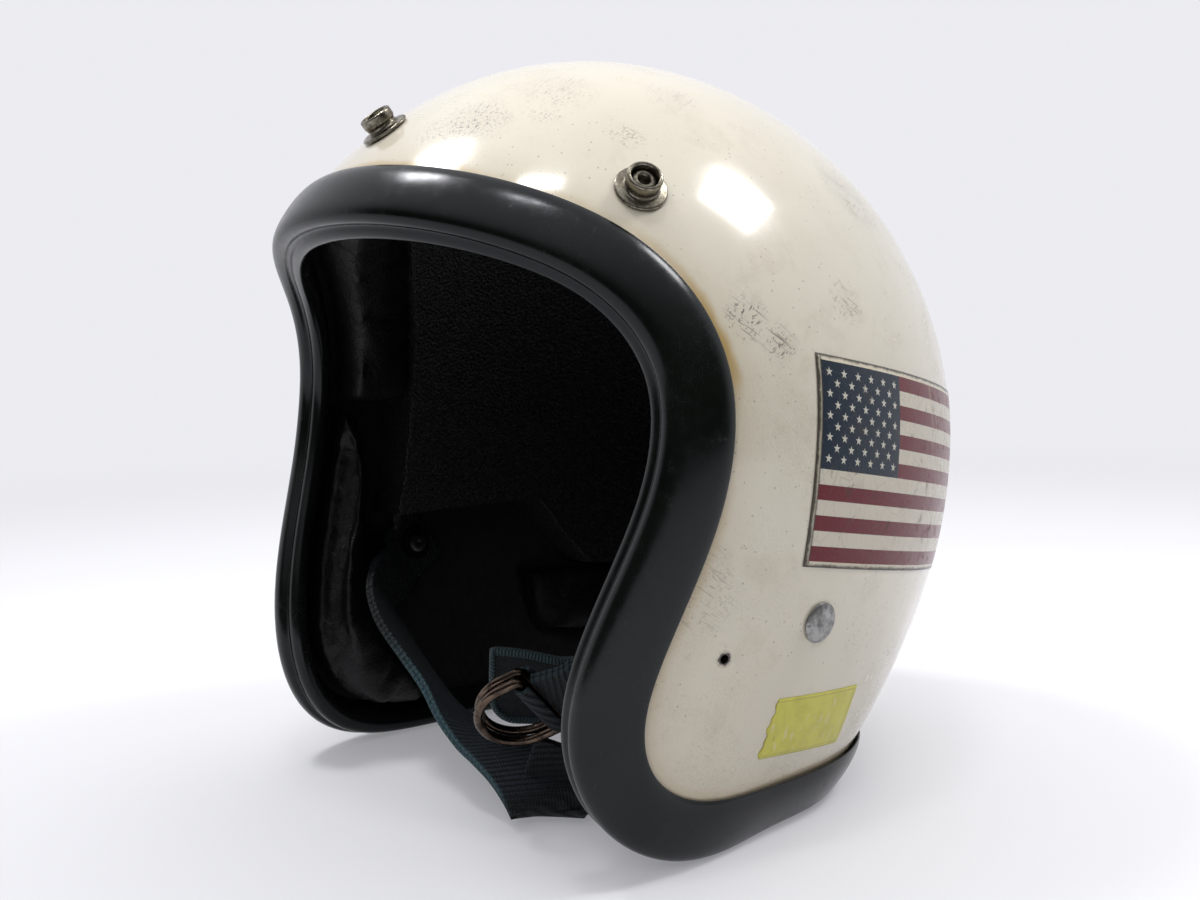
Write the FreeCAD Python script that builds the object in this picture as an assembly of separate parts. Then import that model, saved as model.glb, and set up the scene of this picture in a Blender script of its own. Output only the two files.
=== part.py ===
import FreeCAD, Part
import math
import os

V = FreeCAD.Vector

# ---------------------------------------------------------------------------
# Driving dimensions, millimetres.  +X is the wearer's left, -Y the front, +Z up.
# ---------------------------------------------------------------------------

# Shell: elliptical in plan, one conic arc above the widest line and one below it
HALF_WIDTH = 123.0          # widest line to the mid-plane
FRONT_REACH = 143.0         # widest line forward of the side seam plane
BACK_REACH = 151.0          # widest line behind the side seam plane
WIDE_LINE_HEIGHT = 127.0    # height of the widest line above the resting plane
CROWN_RISE = 141.0          # crown above the widest line
CROWN_FULLNESS = 0.69       # conic weight of the crown arc (0.707 is a true ellipse)
LOWER_FULLNESS = 0.70       # conic weight of the lower arc
FRONT_DEPTH = 500.0         # conic depth below the widest line: nearly straight in front,
SIDE_DEPTH = 188.0          # tucked in at the cheeks
BACK_DEPTH = 150.0          # and more at the nape
QUARTER_TUCK = 17.0         # extra tuck of the rear quarters
SHELL_WALL = 3.8
DOME_FOOT = 75.0            # latitude below the widest line of the surface's lowest row
FOOT_SHARE = 0.93           # how far down the surface goes, of its least depth
DOME_ROWS = 18
DOME_COLUMNS = 40

# Side view of the cut edge, (y, z), from the brow round the cheek and back to the nape
BROW_EDGE_HEIGHT = 209.8
NAPE_EDGE_HEIGHT = 19.0
LOWER_EDGE_HEIGHT = 4.6
EDGE_POINTS = [
    (-104.0, 204.3), (-90.8, 196.5), (-77.6, 185.8), (-68.0, 172.0), (-63.2, 155.0),
    (-63.6, 138.0), (-67.3, 120.0), (-74.6, 99.0), (-82.6, 77.0), (-86.9, 57.0),
    (-85.4, 38.0), (-76.0, 20.5), (-59.0, 9.2), (-36.0, 5.0), (-4.0, LOWER_EDGE_HEIGHT),
    (28.0, LOWER_EDGE_HEIGHT), (54.0, 5.6), (76.0, 8.6), (94.0, 13.4),
]
OUTLINE_POINTS = 40         # of each outline drawn parallel to the edge
EDGE_STRETCH = 300.0        # how far the cutting outline runs on past the shell

# Rubber edge trim: a beading with a channel for the wall
TRIM_LAP = 16.5             # outer leg, measured along the shell from its edge
TRIM_NOSE = 5.2             # rubber in front of the shell's edge
TRIM_BULGE = 3.4            # height of the outer leg's crown over the shell
TRIM_BEAD = 8.0             # depth of the inner bead behind the shell's inner face
TRIM_INNER_LAP = 8.5        # inner leg along the shell
TRIM_CLEARANCE = 0.2        # channel to wall
CHANNEL_DEPTH = 1.8         # of the channel's rounded bottom, beyond the shell's edge
TRIM_STATIONS = 46          # sections on each side of the mid-plane

# Lining
LINER_GAP = 0.4             # every lining piece to the shell
LINER_THICK = 18.0
LINING_THICK = 2.6
PIECE_GAP = 0.3             # between neighbouring soft pieces
PAD_SET_BACK = 10.8         # pads start this far inside the shell's edge
BROW_PAD_WIDTH = 32.0
BROW_PAD_THICK = 21.0
BROW_PAD_FOOT = 141.0       # lower ends of the brow pad at the temples
CHEEK_LINE = 84.0           # the liner's front follows the edge down to here
EAR_LINE_HEIGHT = 92.0      # lower edge of the liner beside the ears
EAR_LINE_BACK = 52.0        # where the liner runs down towards the nape
NAPE_LINE_HEIGHT = 62.0     # lower edge of the liner at the nape
NAPE_PAD_THICK = 17.0
NAPE_PAD_FRONT = 36.0       # front ends of the nape pad
NAPE_PAD_FOOT = 30.5        # its lower edge, over the trim's inner leg

# Cheek pads: (height, x, y, half depth, half length) of each level section
CHEEK_SECTIONS = [
    (139.0, 106.0, -52.0, 8.0, 10.0),
    (120.0, 101.0, -57.0, 13.5, 15.0),
    (95.0, 97.0, -64.0, 16.0, 19.5),
    (70.0, 94.5, -68.0, 16.0, 21.0),
    (45.0, 90.0, -65.0, 16.5, 23.0),
    (24.0, 86.0, -54.0, 15.0, 24.0),
    (9.0, 84.0, -46.0, 9.0, 18.0),
]

# Visor snaps on the brow: (offset to the left, height) on the shell
SNAP_CENTRE_AT = (-6.0, 237.6)
SNAP_SIDE_AT = (85.5, 211.0)
SNAP_FLANGE_RADIUS = 8.5
SNAP_FLANGE_THICK = 0.9
SNAP_BARREL_RADIUS = 5.7
SNAP_NECK_RADIUS = 5.1
SNAP_HEIGHT = 7.6
SNAP_CUP_RADIUS = 4.1
SNAP_CUP_DEPTH = 5.0
SNAP_SHANK_RADIUS = 2.5
SNAP_EYE_RADIUS = 1.7
SNAP_WASHER_RADIUS = 6.0
SNAP_WASHER_THICK = 0.8
SNAP_POCKET_RADIUS = 7.0    # in the lining, round each washer and eyelet tail
SNAP_POCKET_DEPTH = 7.4

# Strap rivets
RIVET_AT = (-12.1, 75.0)    # (y, z) of each rivet on the shell
RIVET_HEAD_RADIUS = 6.75
RIVET_HEAD_HEIGHT = 1.9
RIVET_SHANK_RADIUS = 2.4
RIVET_TAIL_RADIUS = 4.2
RIVET_TAIL_THICK = 1.4
RIVET_WASHER_RADIUS = 7.0
RIVET_WASHER_THICK = 1.2
HOLE_CLEARANCE = 0.1        # rivets and eyelets in their holes

PEAK_HOLE_AT = (-49.0, 68.6)    # small drilled hole in the left cheek, (y, z)
PEAK_HOLE_RADIUS = 1.5

# Webbing
STRAP_WIDTH = 25.4
STRAP_THICK = 1.7           # one layer
DOUBLED = 2 * STRAP_THICK   # both chin straps are two layers sewn together
STRAP_GAP = 0.35            # between a strap's rounded end and the webbing it flexes on
STRAP_SAG = 1.2             # flat webbing stands off the shell's curve by this much
STRAP_SLACK = 0.1           # webbing to shell and to washer
END_EASE = 0.03             # a rounded end is this much thinner than the strap, each side

# D-rings
RING_WIRE_RADIUS = 1.6
RING_BAR = 29.6             # straight bar, between the corner arcs' outer tangents
RING_DEPTH = 22.0           # bar to the far side of the bow
RING_CORNER = 1.9           # bend of the wire at the bar's ends
RING_PITCH = 4.0            # between the two rings
RING_CLEARANCE = 0.3        # wire in the webbing's loop
RING_DROOP = 12.0           # degrees that the rings hang below the strap's line

# Flap behind the rings
FLAP_WIDTH = 25.0
FLAP_THICK = 2.4

# Fits of the fasteners
FLANGE_LIFT = 0.3           # snap flange over the shell at its centre
HEAD_LIFT = 0.2             # rivet head over the shell at its centre
WASHER_GAP = 0.15
STRAP_STACK = STRAP_SAG + STRAP_THICK + 2 * STRAP_SLACK     # shell to rivet washer

# Decals
DECAL_THICK = 0.2
FLAG_FRONT = (-14.5, 160.5, 94.5)    # y of the front edge, top, bottom
FLAG_LENGTH = 108.0
PLATE_TOP_LEFT = (-26.0, 51.5)
PLATE_TOP_RIGHT = (17.5, 47.5)
PLATE_BOTTOM_RIGHT = (15.5, 26.5)
PLATE_BOTTOM_LEFT = (-29.0, 31.5)

DECAL_LIFT = 0.1
FLAG_LEAN = 0.12            # bottom of the flag's front edge lies this share further forward
FLAG_SLOPE = 0.165          # fall of its long edges towards the back

# Route of the webbing.  The flex line is vertical, just behind each cheek pad.
FLEX_POINT = (94.0, -38.0, 65.5)
BAR_CENTRE = (43.4, -65.9, 46.3)
BAR_LIE = (-0.06, 0.75, -0.66)
ANCHOR_BEND = (101.0, -29.0, 66.3)
FLAP_ROUTE = [(84.9, -37.9, 59.0), (75.5, -38.4, 56.0), (60.0, -39.4, 50.0), (46.0, -43.0, 46.5),
              (27.0, -54.5, 45.5), (15.6, -66.0, 46.0)]
LONG_STRAP_ROUTE = [
    ((-94.0, -38.0, 65.5), (0.0, 0.0, -1.0)), ((-88.5, -42.5, 65.3), (-0.05, 0.1, -1.0)),
    ((-82.0, -47.2, 64.0), (-0.10, 0.40, -0.90)), ((-72.5, -52.6, 59.0), (-0.22, 0.70, -0.68)),
    ((-59.0, -56.6, 51.0), (-0.26, 0.78, -0.57)), ((-42.0, -58.0, 41.0), (-0.35, 0.78, -0.52)),
    ((-27.0, -58.5, 32.3), (-0.55, 0.75, -0.35)), ((-14.0, -59.0, 26.5), (-0.62, 0.78, -0.12)),
    ((-2.0, -59.0, 22.8), (-0.60, 0.79, 0.05)), ((10.0, -59.0, 20.2), (-0.35, 0.92, 0.15)),
    ((22.0, -59.5, 17.0), (0.10, 0.98, 0.18)), ((31.5, -60.2, 12.4), (0.45, 0.88, 0.10)),
    ((37.6, -60.8, 7.8), (0.64, 0.77, 0.0)), ((38.2, -60.6, 5.4), (0.70, 0.71, 0.0)),
    ((36.8, -58.2, 4.0), (0.78, 0.62, 0.0)), ((34.6, -55.0, 5.0), (0.80, 0.60, 0.0)),
    ((34.8, -53.0, 9.0), (0.74, 0.67, 0.0)), ((36.8, -51.6, 17.0), (0.67, 0.74, 0.0)),
    ((39.5, -50.0, 25.0), (0.67, 0.74, 0.0)),
]
ORIGIN_SHIFT = -16.0        # brings the origin under the middle of the helmet's length

SIDES = {"left": 1, "right": -1}
BIG = 600.0                 # construction blocks larger than the helmet


# ---------------------------------------------------------------------------
# The shell's surface
# ---------------------------------------------------------------------------

def conic_width(rise, weight):
    """Width factor of the conic arc at a height factor from 0 to 1."""
    q = 1 - rise
    g = 4 * weight * weight
    return (-(g - 2) * q + math.sqrt(max((g - 2) ** 2 * q * q - 4 * (q * q - g * q), 0))) / 2


def reach(angle):
    return FRONT_REACH if math.cos(angle) > 0 else BACK_REACH


def lower_depth(angle):
    """Depth of the lower conic at a plan angle from the front."""
    along = FRONT_DEPTH if math.cos(angle) > 0 else BACK_DEPTH
    depth = SIDE_DEPTH * math.sin(angle) ** 2 + along * math.cos(angle) ** 2
    return depth if math.cos(angle) > 0 else depth - QUARTER_TUCK * math.sin(2 * angle) ** 2


def dome_point(angle, height, inset=0.0):
    """Point on the shell's surface at a plan angle from the front, positive to the left."""
    if height >= WIDE_LINE_HEIGHT:
        rise = (height - WIDE_LINE_HEIGHT) / (CROWN_RISE - inset)
        width = conic_width(min(rise, 1), CROWN_FULLNESS)
    else:
        rise = (WIDE_LINE_HEIGHT - height) / (lower_depth(angle) - inset)
        width = conic_width(min(rise, 1), LOWER_FULLNESS)
    return V((HALF_WIDTH - inset) * width * math.sin(angle),
             -(reach(angle) - inset) * width * math.cos(angle), height)


def through_points(targets):
    """Control points of the closed cubic spline that passes through the targets."""
    count = len(targets)
    poles = list(targets)
    for _ in range(12):
        values = [(poles[i - 1] + poles[i] * 4 + poles[(i + 1) % count]) / 6 for i in range(count)]
        poles = [poles[i] + targets[i] - values[i] for i in range(count)]
    return poles


def open_through_points(targets):
    """Control points of the open cubic spline that passes through the targets."""
    curve = Part.BSplineCurve()
    steps = [float(i) for i in range(len(targets))]
    curve.interpolate(Points=targets, Parameters=steps)
    return curve.getPoles()


def dome_surface(inset):
    """Smooth surface of the shell, moved inwards by inset, with its pole at the crown."""
    angles = [2 * math.pi * i / DOME_COLUMNS for i in range(DOME_COLUMNS)]
    least = min(lower_depth(angle) for angle in angles) - inset
    drop = least * FOOT_SHARE / math.sin(math.radians(DOME_FOOT))
    rows = []
    for j in range(DOME_ROWS + 1):
        latitude = math.radians((90 + DOME_FOOT) * j / DOME_ROWS - DOME_FOOT)
        rise = CROWN_RISE - inset if latitude > 0 else drop
        height = WIDE_LINE_HEIGHT + rise * math.sin(latitude)
        rows.append(through_points([dome_point(angle, height, inset) for angle in angles]))
    rows[-1] = [V(0, 0, WIDE_LINE_HEIGHT + CROWN_RISE - inset)] * DOME_COLUMNS
    poles = [open_through_points([row[i] for row in rows]) for i in range(DOME_COLUMNS)]
    pole_rows = len(poles[0])
    surface = Part.BSplineSurface()
    surface.buildFromPolesMultsKnots(
        poles, [1] * (DOME_COLUMNS + 1), [4] + [1] * (pole_rows - 4) + [4],
        list(range(DOME_COLUMNS + 1)), list(range(pole_rows - 2)), True, False, 3, 3)
    return surface


def dome(inset):
    """Solid inside the shell's surface, closed by a level face below the cut edge."""
    skin = Part.Face(dome_surface(inset))
    rim = [edge for edge in skin.Edges
           if not edge.Degenerated and edge.BoundBox.ZMax < WIDE_LINE_HEIGHT / 2]
    foot = Part.Face(Part.Wire(rim))
    closed = Part.Shell([skin, foot])
    closed.sewShape()
    solid = Part.Solid(closed)
    if solid.Volume < 0:
        solid.reverse()
    return solid


def dome_normal(angle, height):
    step = 0.002
    lift = 0.2
    level = dome_point(angle + step, height) - dome_point(angle - step, height)
    upright = dome_point(angle, height + lift) - dome_point(angle, height - lift)
    return level.cross(upright).normalize()


def angle_at_y(y, height, inset=0.0):
    """Plan angle, 0 to 180 degrees, at which the surface has a given y."""
    low, high = 0.0, math.pi
    for _ in range(50):
        middle = (low + high) / 2
        if dome_point(middle, height, inset).y > y:
            high = middle
        else:
            low = middle
    return (low + high) / 2


def angle_at_x(x, height):
    """Plan angle on the front half at which the surface has a given x."""
    low, high = -math.pi / 2, math.pi / 2
    for _ in range(50):
        middle = (low + high) / 2
        if dome_point(middle, height).x > x:
            high = middle
        else:
            low = middle
    return (low + high) / 2


def seat_at_y(side, y, height):
    """Point and outward normal on one side of the shell."""
    angle = side * angle_at_y(y, height)
    return dome_point(angle, height), dome_normal(angle, height)


def seat_at_x(x, height):
    """Point and outward normal on the front half of the shell."""
    angle = angle_at_x(x, height)
    return dome_point(angle, height), dome_normal(angle, height)


# ---------------------------------------------------------------------------
# Cutting outlines and small helpers
# ---------------------------------------------------------------------------


def edge_curve():
    """The cut edge in side view, a smooth curve from the brow to the nape."""
    brow = dome_point(0.0, BROW_EDGE_HEIGHT)
    nape = dome_point(math.pi, NAPE_EDGE_HEIGHT)
    points = [V(0, brow.y, brow.z)] + [V(0, y, z) for y, z in EDGE_POINTS] + [V(0, nape.y, nape.z)]
    curve = Part.BSplineCurve()
    curve.interpolate(points)
    return curve


def edge_outline(distance=0.0, foot=None):
    """Closed side-view outline of everything a distance inside the cut edge.

    With a foot, the outline leaves the edge at that height and runs straight down.
    """
    edge = edge_curve()
    start, end = edge.FirstParameter, edge.LastParameter
    inside = []
    for i in range(OUTLINE_POINTS + 1):
        at = start + (end - start) * i / OUTLINE_POINTS
        point, run = edge.value(at), edge.tangent(at)[0]
        if foot is None or point.z > foot:
            inside.append(point + V(0, -run.z, run.y) * distance)
    curve = Part.BSplineCurve()
    curve.interpolate(inside)
    first, last = inside[0], inside[-1]
    ahead = first - curve.tangent(curve.FirstParameter)[0] * EDGE_STRETCH
    top = WIDE_LINE_HEIGHT + CROWN_RISE + EDGE_STRETCH
    low = last.z if foot is None else -EDGE_STRETCH
    back = last.y + EDGE_STRETCH
    corners = [last, V(0, last.y, low), V(0, back, low), V(0, back, top), V(0, ahead.y, top),
               ahead, first]
    edges = [curve.toShape()]
    for one, two in zip(corners, corners[1:]):
        if not one.isEqual(two, 1e-6):
            edges.append(Part.makeLine(one, two))
    return Part.Wire(edges)


def across(outline):
    """Block with a side-view outline, right through the helmet."""
    block = Part.Face(outline).extrude(V(2 * BIG, 0, 0))
    block.translate(V(-BIG, 0, 0))
    return block


def behind_edge(distance, foot=None):
    """Block of everything at least a distance inside the cut edge, in side view."""
    return across(edge_outline(distance, foot))


def side_polygon(points):
    return across(Part.makePolygon([V(0, y, z) for y, z in points + points[:1]]))


def layer(outer, inner):
    """Closed skin between two depths inside the shell's surface."""
    return dome(outer).cut(dome(inner))


def half_space(side):
    """Block on the wearer's left (1) or right (-1) of the mid-plane."""
    return Part.makeBox(BIG, 2 * BIG, 2 * BIG, V(0 if side > 0 else -BIG, -BIG, -BIG))


def mirrored(shape):
    return shape.mirror(V(0, 0, 0), V(1, 0, 0))


def placed(shape, point, direction):
    """Move a shape built along +Z at the origin to a point, along a direction."""
    shape = shape.copy()
    shape.Placement = FreeCAD.Placement(point, FreeCAD.Rotation(V(0, 0, 1), direction))
    return shape


def turned(profile):
    """Solid of revolution about Z from (radius, height) points."""
    wire = Part.makePolygon([V(r, 0, z) for r, z in profile + profile[:1]])
    return Part.Face(wire).revolve(V(0, 0, 0), V(0, 0, 1), 360)


def drill(point, direction, radius, length=40.0):
    """Cylinder centred on a point, for holes."""
    return Part.makeCylinder(radius, length, point - direction * (length / 2), direction)


# ---------------------------------------------------------------------------
# Shell and trim
# ---------------------------------------------------------------------------


def rivet_seats():
    return {name: seat_at_y(side, *RIVET_AT) for name, side in SIDES.items()}


def snap_seats():
    x, height = SNAP_SIDE_AT
    return {"left": seat_at_x(x, height), "centre": seat_at_x(*SNAP_CENTRE_AT),
            "right": seat_at_x(-x, height)}


def make_shell():
    shell = layer(0.0, SHELL_WALL).common(behind_edge(0))
    for point, normal in snap_seats().values():
        shell = shell.cut(drill(point, normal, SNAP_SHANK_RADIUS + HOLE_CLEARANCE))
    for point, normal in rivet_seats().values():
        shell = shell.cut(drill(point, normal, RIVET_SHANK_RADIUS + HOLE_CLEARANCE))
    point, normal = seat_at_y(1, *PEAK_HOLE_AT)
    return shell.cut(drill(point, normal, PEAK_HOLE_RADIUS, 4 * SHELL_WALL))


def edge_path():
    """Stations along the left half of the shell's outer edge, evenly spaced, brow to nape.

    Each is a point, the shell's normal and the normal of the side-view cut there.
    """
    curve = edge_curve()
    start, end = curve.FirstParameter, curve.LastParameter
    fine = []
    samples = 600
    for i in range(samples + 1):
        share = (1 - math.cos(math.pi * i / samples)) / 2
        point = curve.value(start + (end - start) * share)
        angle = angle_at_y(point.y, point.z)
        fine.append((angle, point.z, dome_point(angle, point.z)))
    lengths = [0.0]
    for one, two in zip(fine, fine[1:]):
        lengths.append(lengths[-1] + (two[2] - one[2]).Length)
    path = []
    k = 0
    for i in range(TRIM_STATIONS + 1):
        wanted = lengths[-1] * i / TRIM_STATIONS
        while k < samples - 1 and lengths[k + 1] < wanted:
            k += 1
        share = (wanted - lengths[k]) / max(lengths[k + 1] - lengths[k], 1e-9)
        share = min(max(share, 0.0), 1.0)
        angle = fine[k][0] + (fine[k + 1][0] - fine[k][0]) * share
        height = fine[k][1] + (fine[k + 1][1] - fine[k][1]) * share
        if i in (0, TRIM_STATIONS):
            angle = 0.0 if i == 0 else math.pi
        run = fine[k + 1][2] - fine[k][2]
        cut = V(0, -run.z, run.y).normalize()
        path.append((dome_point(angle, height), dome_normal(angle, height), cut))
    return path


def trim_section():
    """Control points of the beading's section: (along the shell, outwards from it)."""
    inside = -SHELL_WALL - TRIM_CLEARANCE
    back = -SHELL_WALL - TRIM_BEAD
    return [
        (TRIM_LAP + 0.4, 0.3), (TRIM_LAP - 1.0, 1.5), (TRIM_LAP * 0.75, TRIM_BULGE * 0.82),
        (TRIM_LAP * 0.45, TRIM_BULGE), (TRIM_LAP * 0.12, TRIM_BULGE),
        (-TRIM_NOSE * 0.7, TRIM_BULGE * 0.8), (-TRIM_NOSE * 1.12, -0.4),
        (-TRIM_NOSE * 0.95, inside + 0.6), (-TRIM_NOSE * 0.55, inside - 1.0),
        (-TRIM_NOSE * 1.1, back * 0.62), (-TRIM_NOSE * 1.0, back * 0.98), (0.8, back * 1.02),
        (TRIM_INNER_LAP * 0.55, back * 0.72), (TRIM_INNER_LAP, inside - 2.2),
        (TRIM_INNER_LAP * 0.98, inside), (TRIM_INNER_LAP * 0.5, inside), (0.2, inside),
        (-CHANNEL_DEPTH, inside + 0.2), (-CHANNEL_DEPTH, TRIM_CLEARANCE - 0.2), (0.4, TRIM_CLEARANCE),
        (TRIM_LAP * 0.4, TRIM_CLEARANCE), (TRIM_LAP * 0.75, TRIM_CLEARANCE),
    ]


def make_edge_trim():
    """Beading round the whole edge; its inner parts follow the wall's oblique cut."""
    half = edge_path()
    whole = half + [(V(-p.x, p.y, p.z), V(-n.x, n.y, n.z), cut) for p, n, cut in half[-2:0:-1]]
    count = len(whole)
    stations = []
    for i, (point, normal, cut) in enumerate(whole):
        tangent = whole[(i + 1) % count][0] - whole[i - 1][0]
        inward = normal.cross(tangent).normalize()
        through = cut.cross(tangent)
        overhang = min(through.dot(inward) / -through.dot(normal), 0)
        station = []
        for b, a in trim_section():
            depth = min(max(-a, 0), SHELL_WALL)
            station.append(point + inward * (b + overhang * depth) + normal * a)
        stations.append(station)
    rows = [through_points([station[k] for station in stations])
            for k in range(len(trim_section()))]
    poles = [[row[i] for row in rows] for i in range(count)]
    surface = Part.BSplineSurface()
    surface.buildFromPolesMultsKnots(poles, [1] * (count + 1), [1] * (len(rows) + 1),
                                     list(range(count + 1)), list(range(len(rows) + 1)),
                                     True, True, 3, 3)
    trim = Part.Solid(Part.Shell([Part.Face(surface)]))
    if trim.Volume < 0:
        trim.reverse()
    return trim


# ---------------------------------------------------------------------------
# Lining
# ---------------------------------------------------------------------------


def liner_outline(gap=0.0):
    """Side view of the liner's lower edge: level beside the ears, then down to the nape."""
    top = 2 * BIG
    return side_polygon([
        (-BIG, top), (-BIG, EAR_LINE_HEIGHT + gap), (EAR_LINE_BACK - 8, EAR_LINE_HEIGHT + gap),
        (EAR_LINE_BACK + 8, NAPE_LINE_HEIGHT + gap), (BIG, NAPE_LINE_HEIGHT + gap), (BIG, top),
    ])


def make_impact_liner():
    behind_pad = behind_edge(PAD_SET_BACK + BROW_PAD_WIDTH + PIECE_GAP, CHEEK_LINE)
    region = behind_pad.common(liner_outline())
    outer = SHELL_WALL + LINER_GAP
    liner = layer(outer, outer + LINER_THICK).common(region)
    for point, normal in snap_seats().values():
        liner = liner.cut(drill(point, normal, SNAP_POCKET_RADIUS, 2 * SNAP_POCKET_DEPTH))
    return liner


def make_crown_lining():
    outer = SHELL_WALL + LINER_GAP + LINER_THICK + PIECE_GAP
    behind_pad = behind_edge(PAD_SET_BACK + BROW_PAD_WIDTH + 2 * PIECE_GAP, CHEEK_LINE)
    region = behind_pad.common(liner_outline(PIECE_GAP))
    return layer(outer, outer + LINING_THICK).common(region)


def make_brow_pad():
    band = behind_edge(PAD_SET_BACK).cut(behind_edge(PAD_SET_BACK + BROW_PAD_WIDTH, CHEEK_LINE))
    outer = SHELL_WALL + LINER_GAP
    above = Part.makeBox(2 * BIG, 2 * BIG, BIG, V(-BIG, -BIG, BROW_PAD_FOOT))
    pad = layer(outer, outer + BROW_PAD_THICK).common(band).common(above)
    for point, normal in snap_seats().values():
        pad = pad.cut(drill(point, normal, SNAP_POCKET_RADIUS, 2 * SNAP_POCKET_DEPTH))
    return pad


def make_nape_pad():
    outer = SHELL_WALL + LINER_GAP
    top = NAPE_LINE_HEIGHT - PIECE_GAP
    region = side_polygon([(NAPE_PAD_FRONT, NAPE_PAD_FOOT), (NAPE_PAD_FRONT, top), (BIG, top),
                           (BIG, NAPE_PAD_FOOT)])
    return layer(outer, outer + NAPE_PAD_THICK).common(region)


def make_cheek_pad(side):
    """Puffed roll behind the front edge of the cheek, trimmed to the shell's inner face."""
    wires = []
    for height, x, y, half_depth, half_length in CHEEK_SECTIONS:
        ellipse = Part.Ellipse(V(0, 0, 0), half_length, half_depth).toShape()
        wire = Part.Wire([ellipse])
        wire.rotate(V(0, 0, 0), V(0, 0, 1), 90)
        wire.translate(V(x, y, height))
        wires.append(wire)
    roll = Part.makeLoft(wires, True, False)
    pad = roll.common(dome(SHELL_WALL + LINER_GAP)).common(behind_edge(PAD_SET_BACK))
    return pad if side > 0 else mirrored(pad)


# ---------------------------------------------------------------------------
# Fasteners
# ---------------------------------------------------------------------------


def make_snap_stud(seat):
    """Flanged barrel with a necked waist, a rolled rim and a cup for the visor's socket."""
    point, normal = seat
    waist = SNAP_FLANGE_THICK + 1.4
    stud = turned([
        (SNAP_SHANK_RADIUS + HOLE_CLEARANCE, 0), (SNAP_FLANGE_RADIUS, 0),
        (SNAP_FLANGE_RADIUS, SNAP_FLANGE_THICK * 0.6),
        (SNAP_FLANGE_RADIUS - 0.5, SNAP_FLANGE_THICK),
        (SNAP_NECK_RADIUS + 0.8, SNAP_FLANGE_THICK), (SNAP_NECK_RADIUS, waist),
        (SNAP_NECK_RADIUS, waist + 0.6), (SNAP_BARREL_RADIUS, waist + 1.4),
        (SNAP_BARREL_RADIUS, SNAP_HEIGHT - 0.7), (SNAP_BARREL_RADIUS - 0.6, SNAP_HEIGHT),
        (SNAP_CUP_RADIUS + 0.5, SNAP_HEIGHT), (SNAP_CUP_RADIUS, SNAP_HEIGHT - 0.7),
        (SNAP_CUP_RADIUS, SNAP_HEIGHT - SNAP_CUP_DEPTH),
        (SNAP_SHANK_RADIUS + HOLE_CLEARANCE, SNAP_HEIGHT - SNAP_CUP_DEPTH),
    ])
    return placed(stud, point + normal * FLANGE_LIFT, normal)


def make_snap_eyelet(seat):
    """Tubular rivet: rolled head in the stud's cup, shank through the shell."""
    point, normal = seat
    floor = FLANGE_LIFT + SNAP_HEIGHT - SNAP_CUP_DEPTH
    tail = -(SHELL_WALL + SNAP_WASHER_THICK + 1.6)
    eyelet = turned([
        (SNAP_EYE_RADIUS, tail), (SNAP_SHANK_RADIUS + 1.2, tail),
        (SNAP_SHANK_RADIUS + 1.2, tail + 0.7), (SNAP_SHANK_RADIUS, tail + 0.7),
        (SNAP_SHANK_RADIUS, floor + 0.05), (SNAP_CUP_RADIUS - 0.4, floor + 0.05),
        (SNAP_CUP_RADIUS - 0.3, floor + 0.7), (SNAP_CUP_RADIUS - 0.9, floor + 1.3),
        (SNAP_EYE_RADIUS + 0.5, floor + 1.3), (SNAP_EYE_RADIUS, floor + 0.7),
    ])
    return placed(eyelet, point, normal)


def make_snap_washer(seat):
    point, normal = seat
    top = -(SHELL_WALL + WASHER_GAP)
    washer = turned([
        (SNAP_SHANK_RADIUS + HOLE_CLEARANCE, top - SNAP_WASHER_THICK),
        (SNAP_WASHER_RADIUS, top - SNAP_WASHER_THICK), (SNAP_WASHER_RADIUS, top),
        (SNAP_SHANK_RADIUS + HOLE_CLEARANCE, top),
    ])
    return placed(washer, point, normal)


def make_strap_rivet(seat):
    """Flat domed head, shank, and a tail set over the washer."""
    point, normal = seat
    tail = -(SHELL_WALL + STRAP_STACK + RIVET_WASHER_THICK + WASHER_GAP)
    rivet = turned([
        (0, tail - RIVET_TAIL_THICK), (RIVET_TAIL_RADIUS - 0.5, tail - RIVET_TAIL_THICK),
        (RIVET_TAIL_RADIUS, tail - 0.4), (RIVET_TAIL_RADIUS, tail), (RIVET_SHANK_RADIUS, tail),
        (RIVET_SHANK_RADIUS, HEAD_LIFT), (RIVET_HEAD_RADIUS - 0.3, HEAD_LIFT),
        (RIVET_HEAD_RADIUS, HEAD_LIFT + 0.4), (RIVET_HEAD_RADIUS * 0.86, HEAD_LIFT + 1.1),
        (RIVET_HEAD_RADIUS * 0.6, HEAD_LIFT + RIVET_HEAD_HEIGHT * 0.84),
        (RIVET_HEAD_RADIUS * 0.3, HEAD_LIFT + RIVET_HEAD_HEIGHT * 0.97),
        (0, HEAD_LIFT + RIVET_HEAD_HEIGHT),
    ])
    return placed(rivet, point, normal)


def make_rivet_washer(seat):
    point, normal = seat
    top = -(SHELL_WALL + STRAP_STACK)
    washer = turned([
        (RIVET_SHANK_RADIUS + HOLE_CLEARANCE, top - RIVET_WASHER_THICK),
        (RIVET_WASHER_RADIUS, top - RIVET_WASHER_THICK), (RIVET_WASHER_RADIUS, top),
        (RIVET_SHANK_RADIUS + HOLE_CLEARANCE, top),
    ])
    return placed(washer, point, normal)


# ---------------------------------------------------------------------------
# Webbing and rings
# ---------------------------------------------------------------------------


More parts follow.
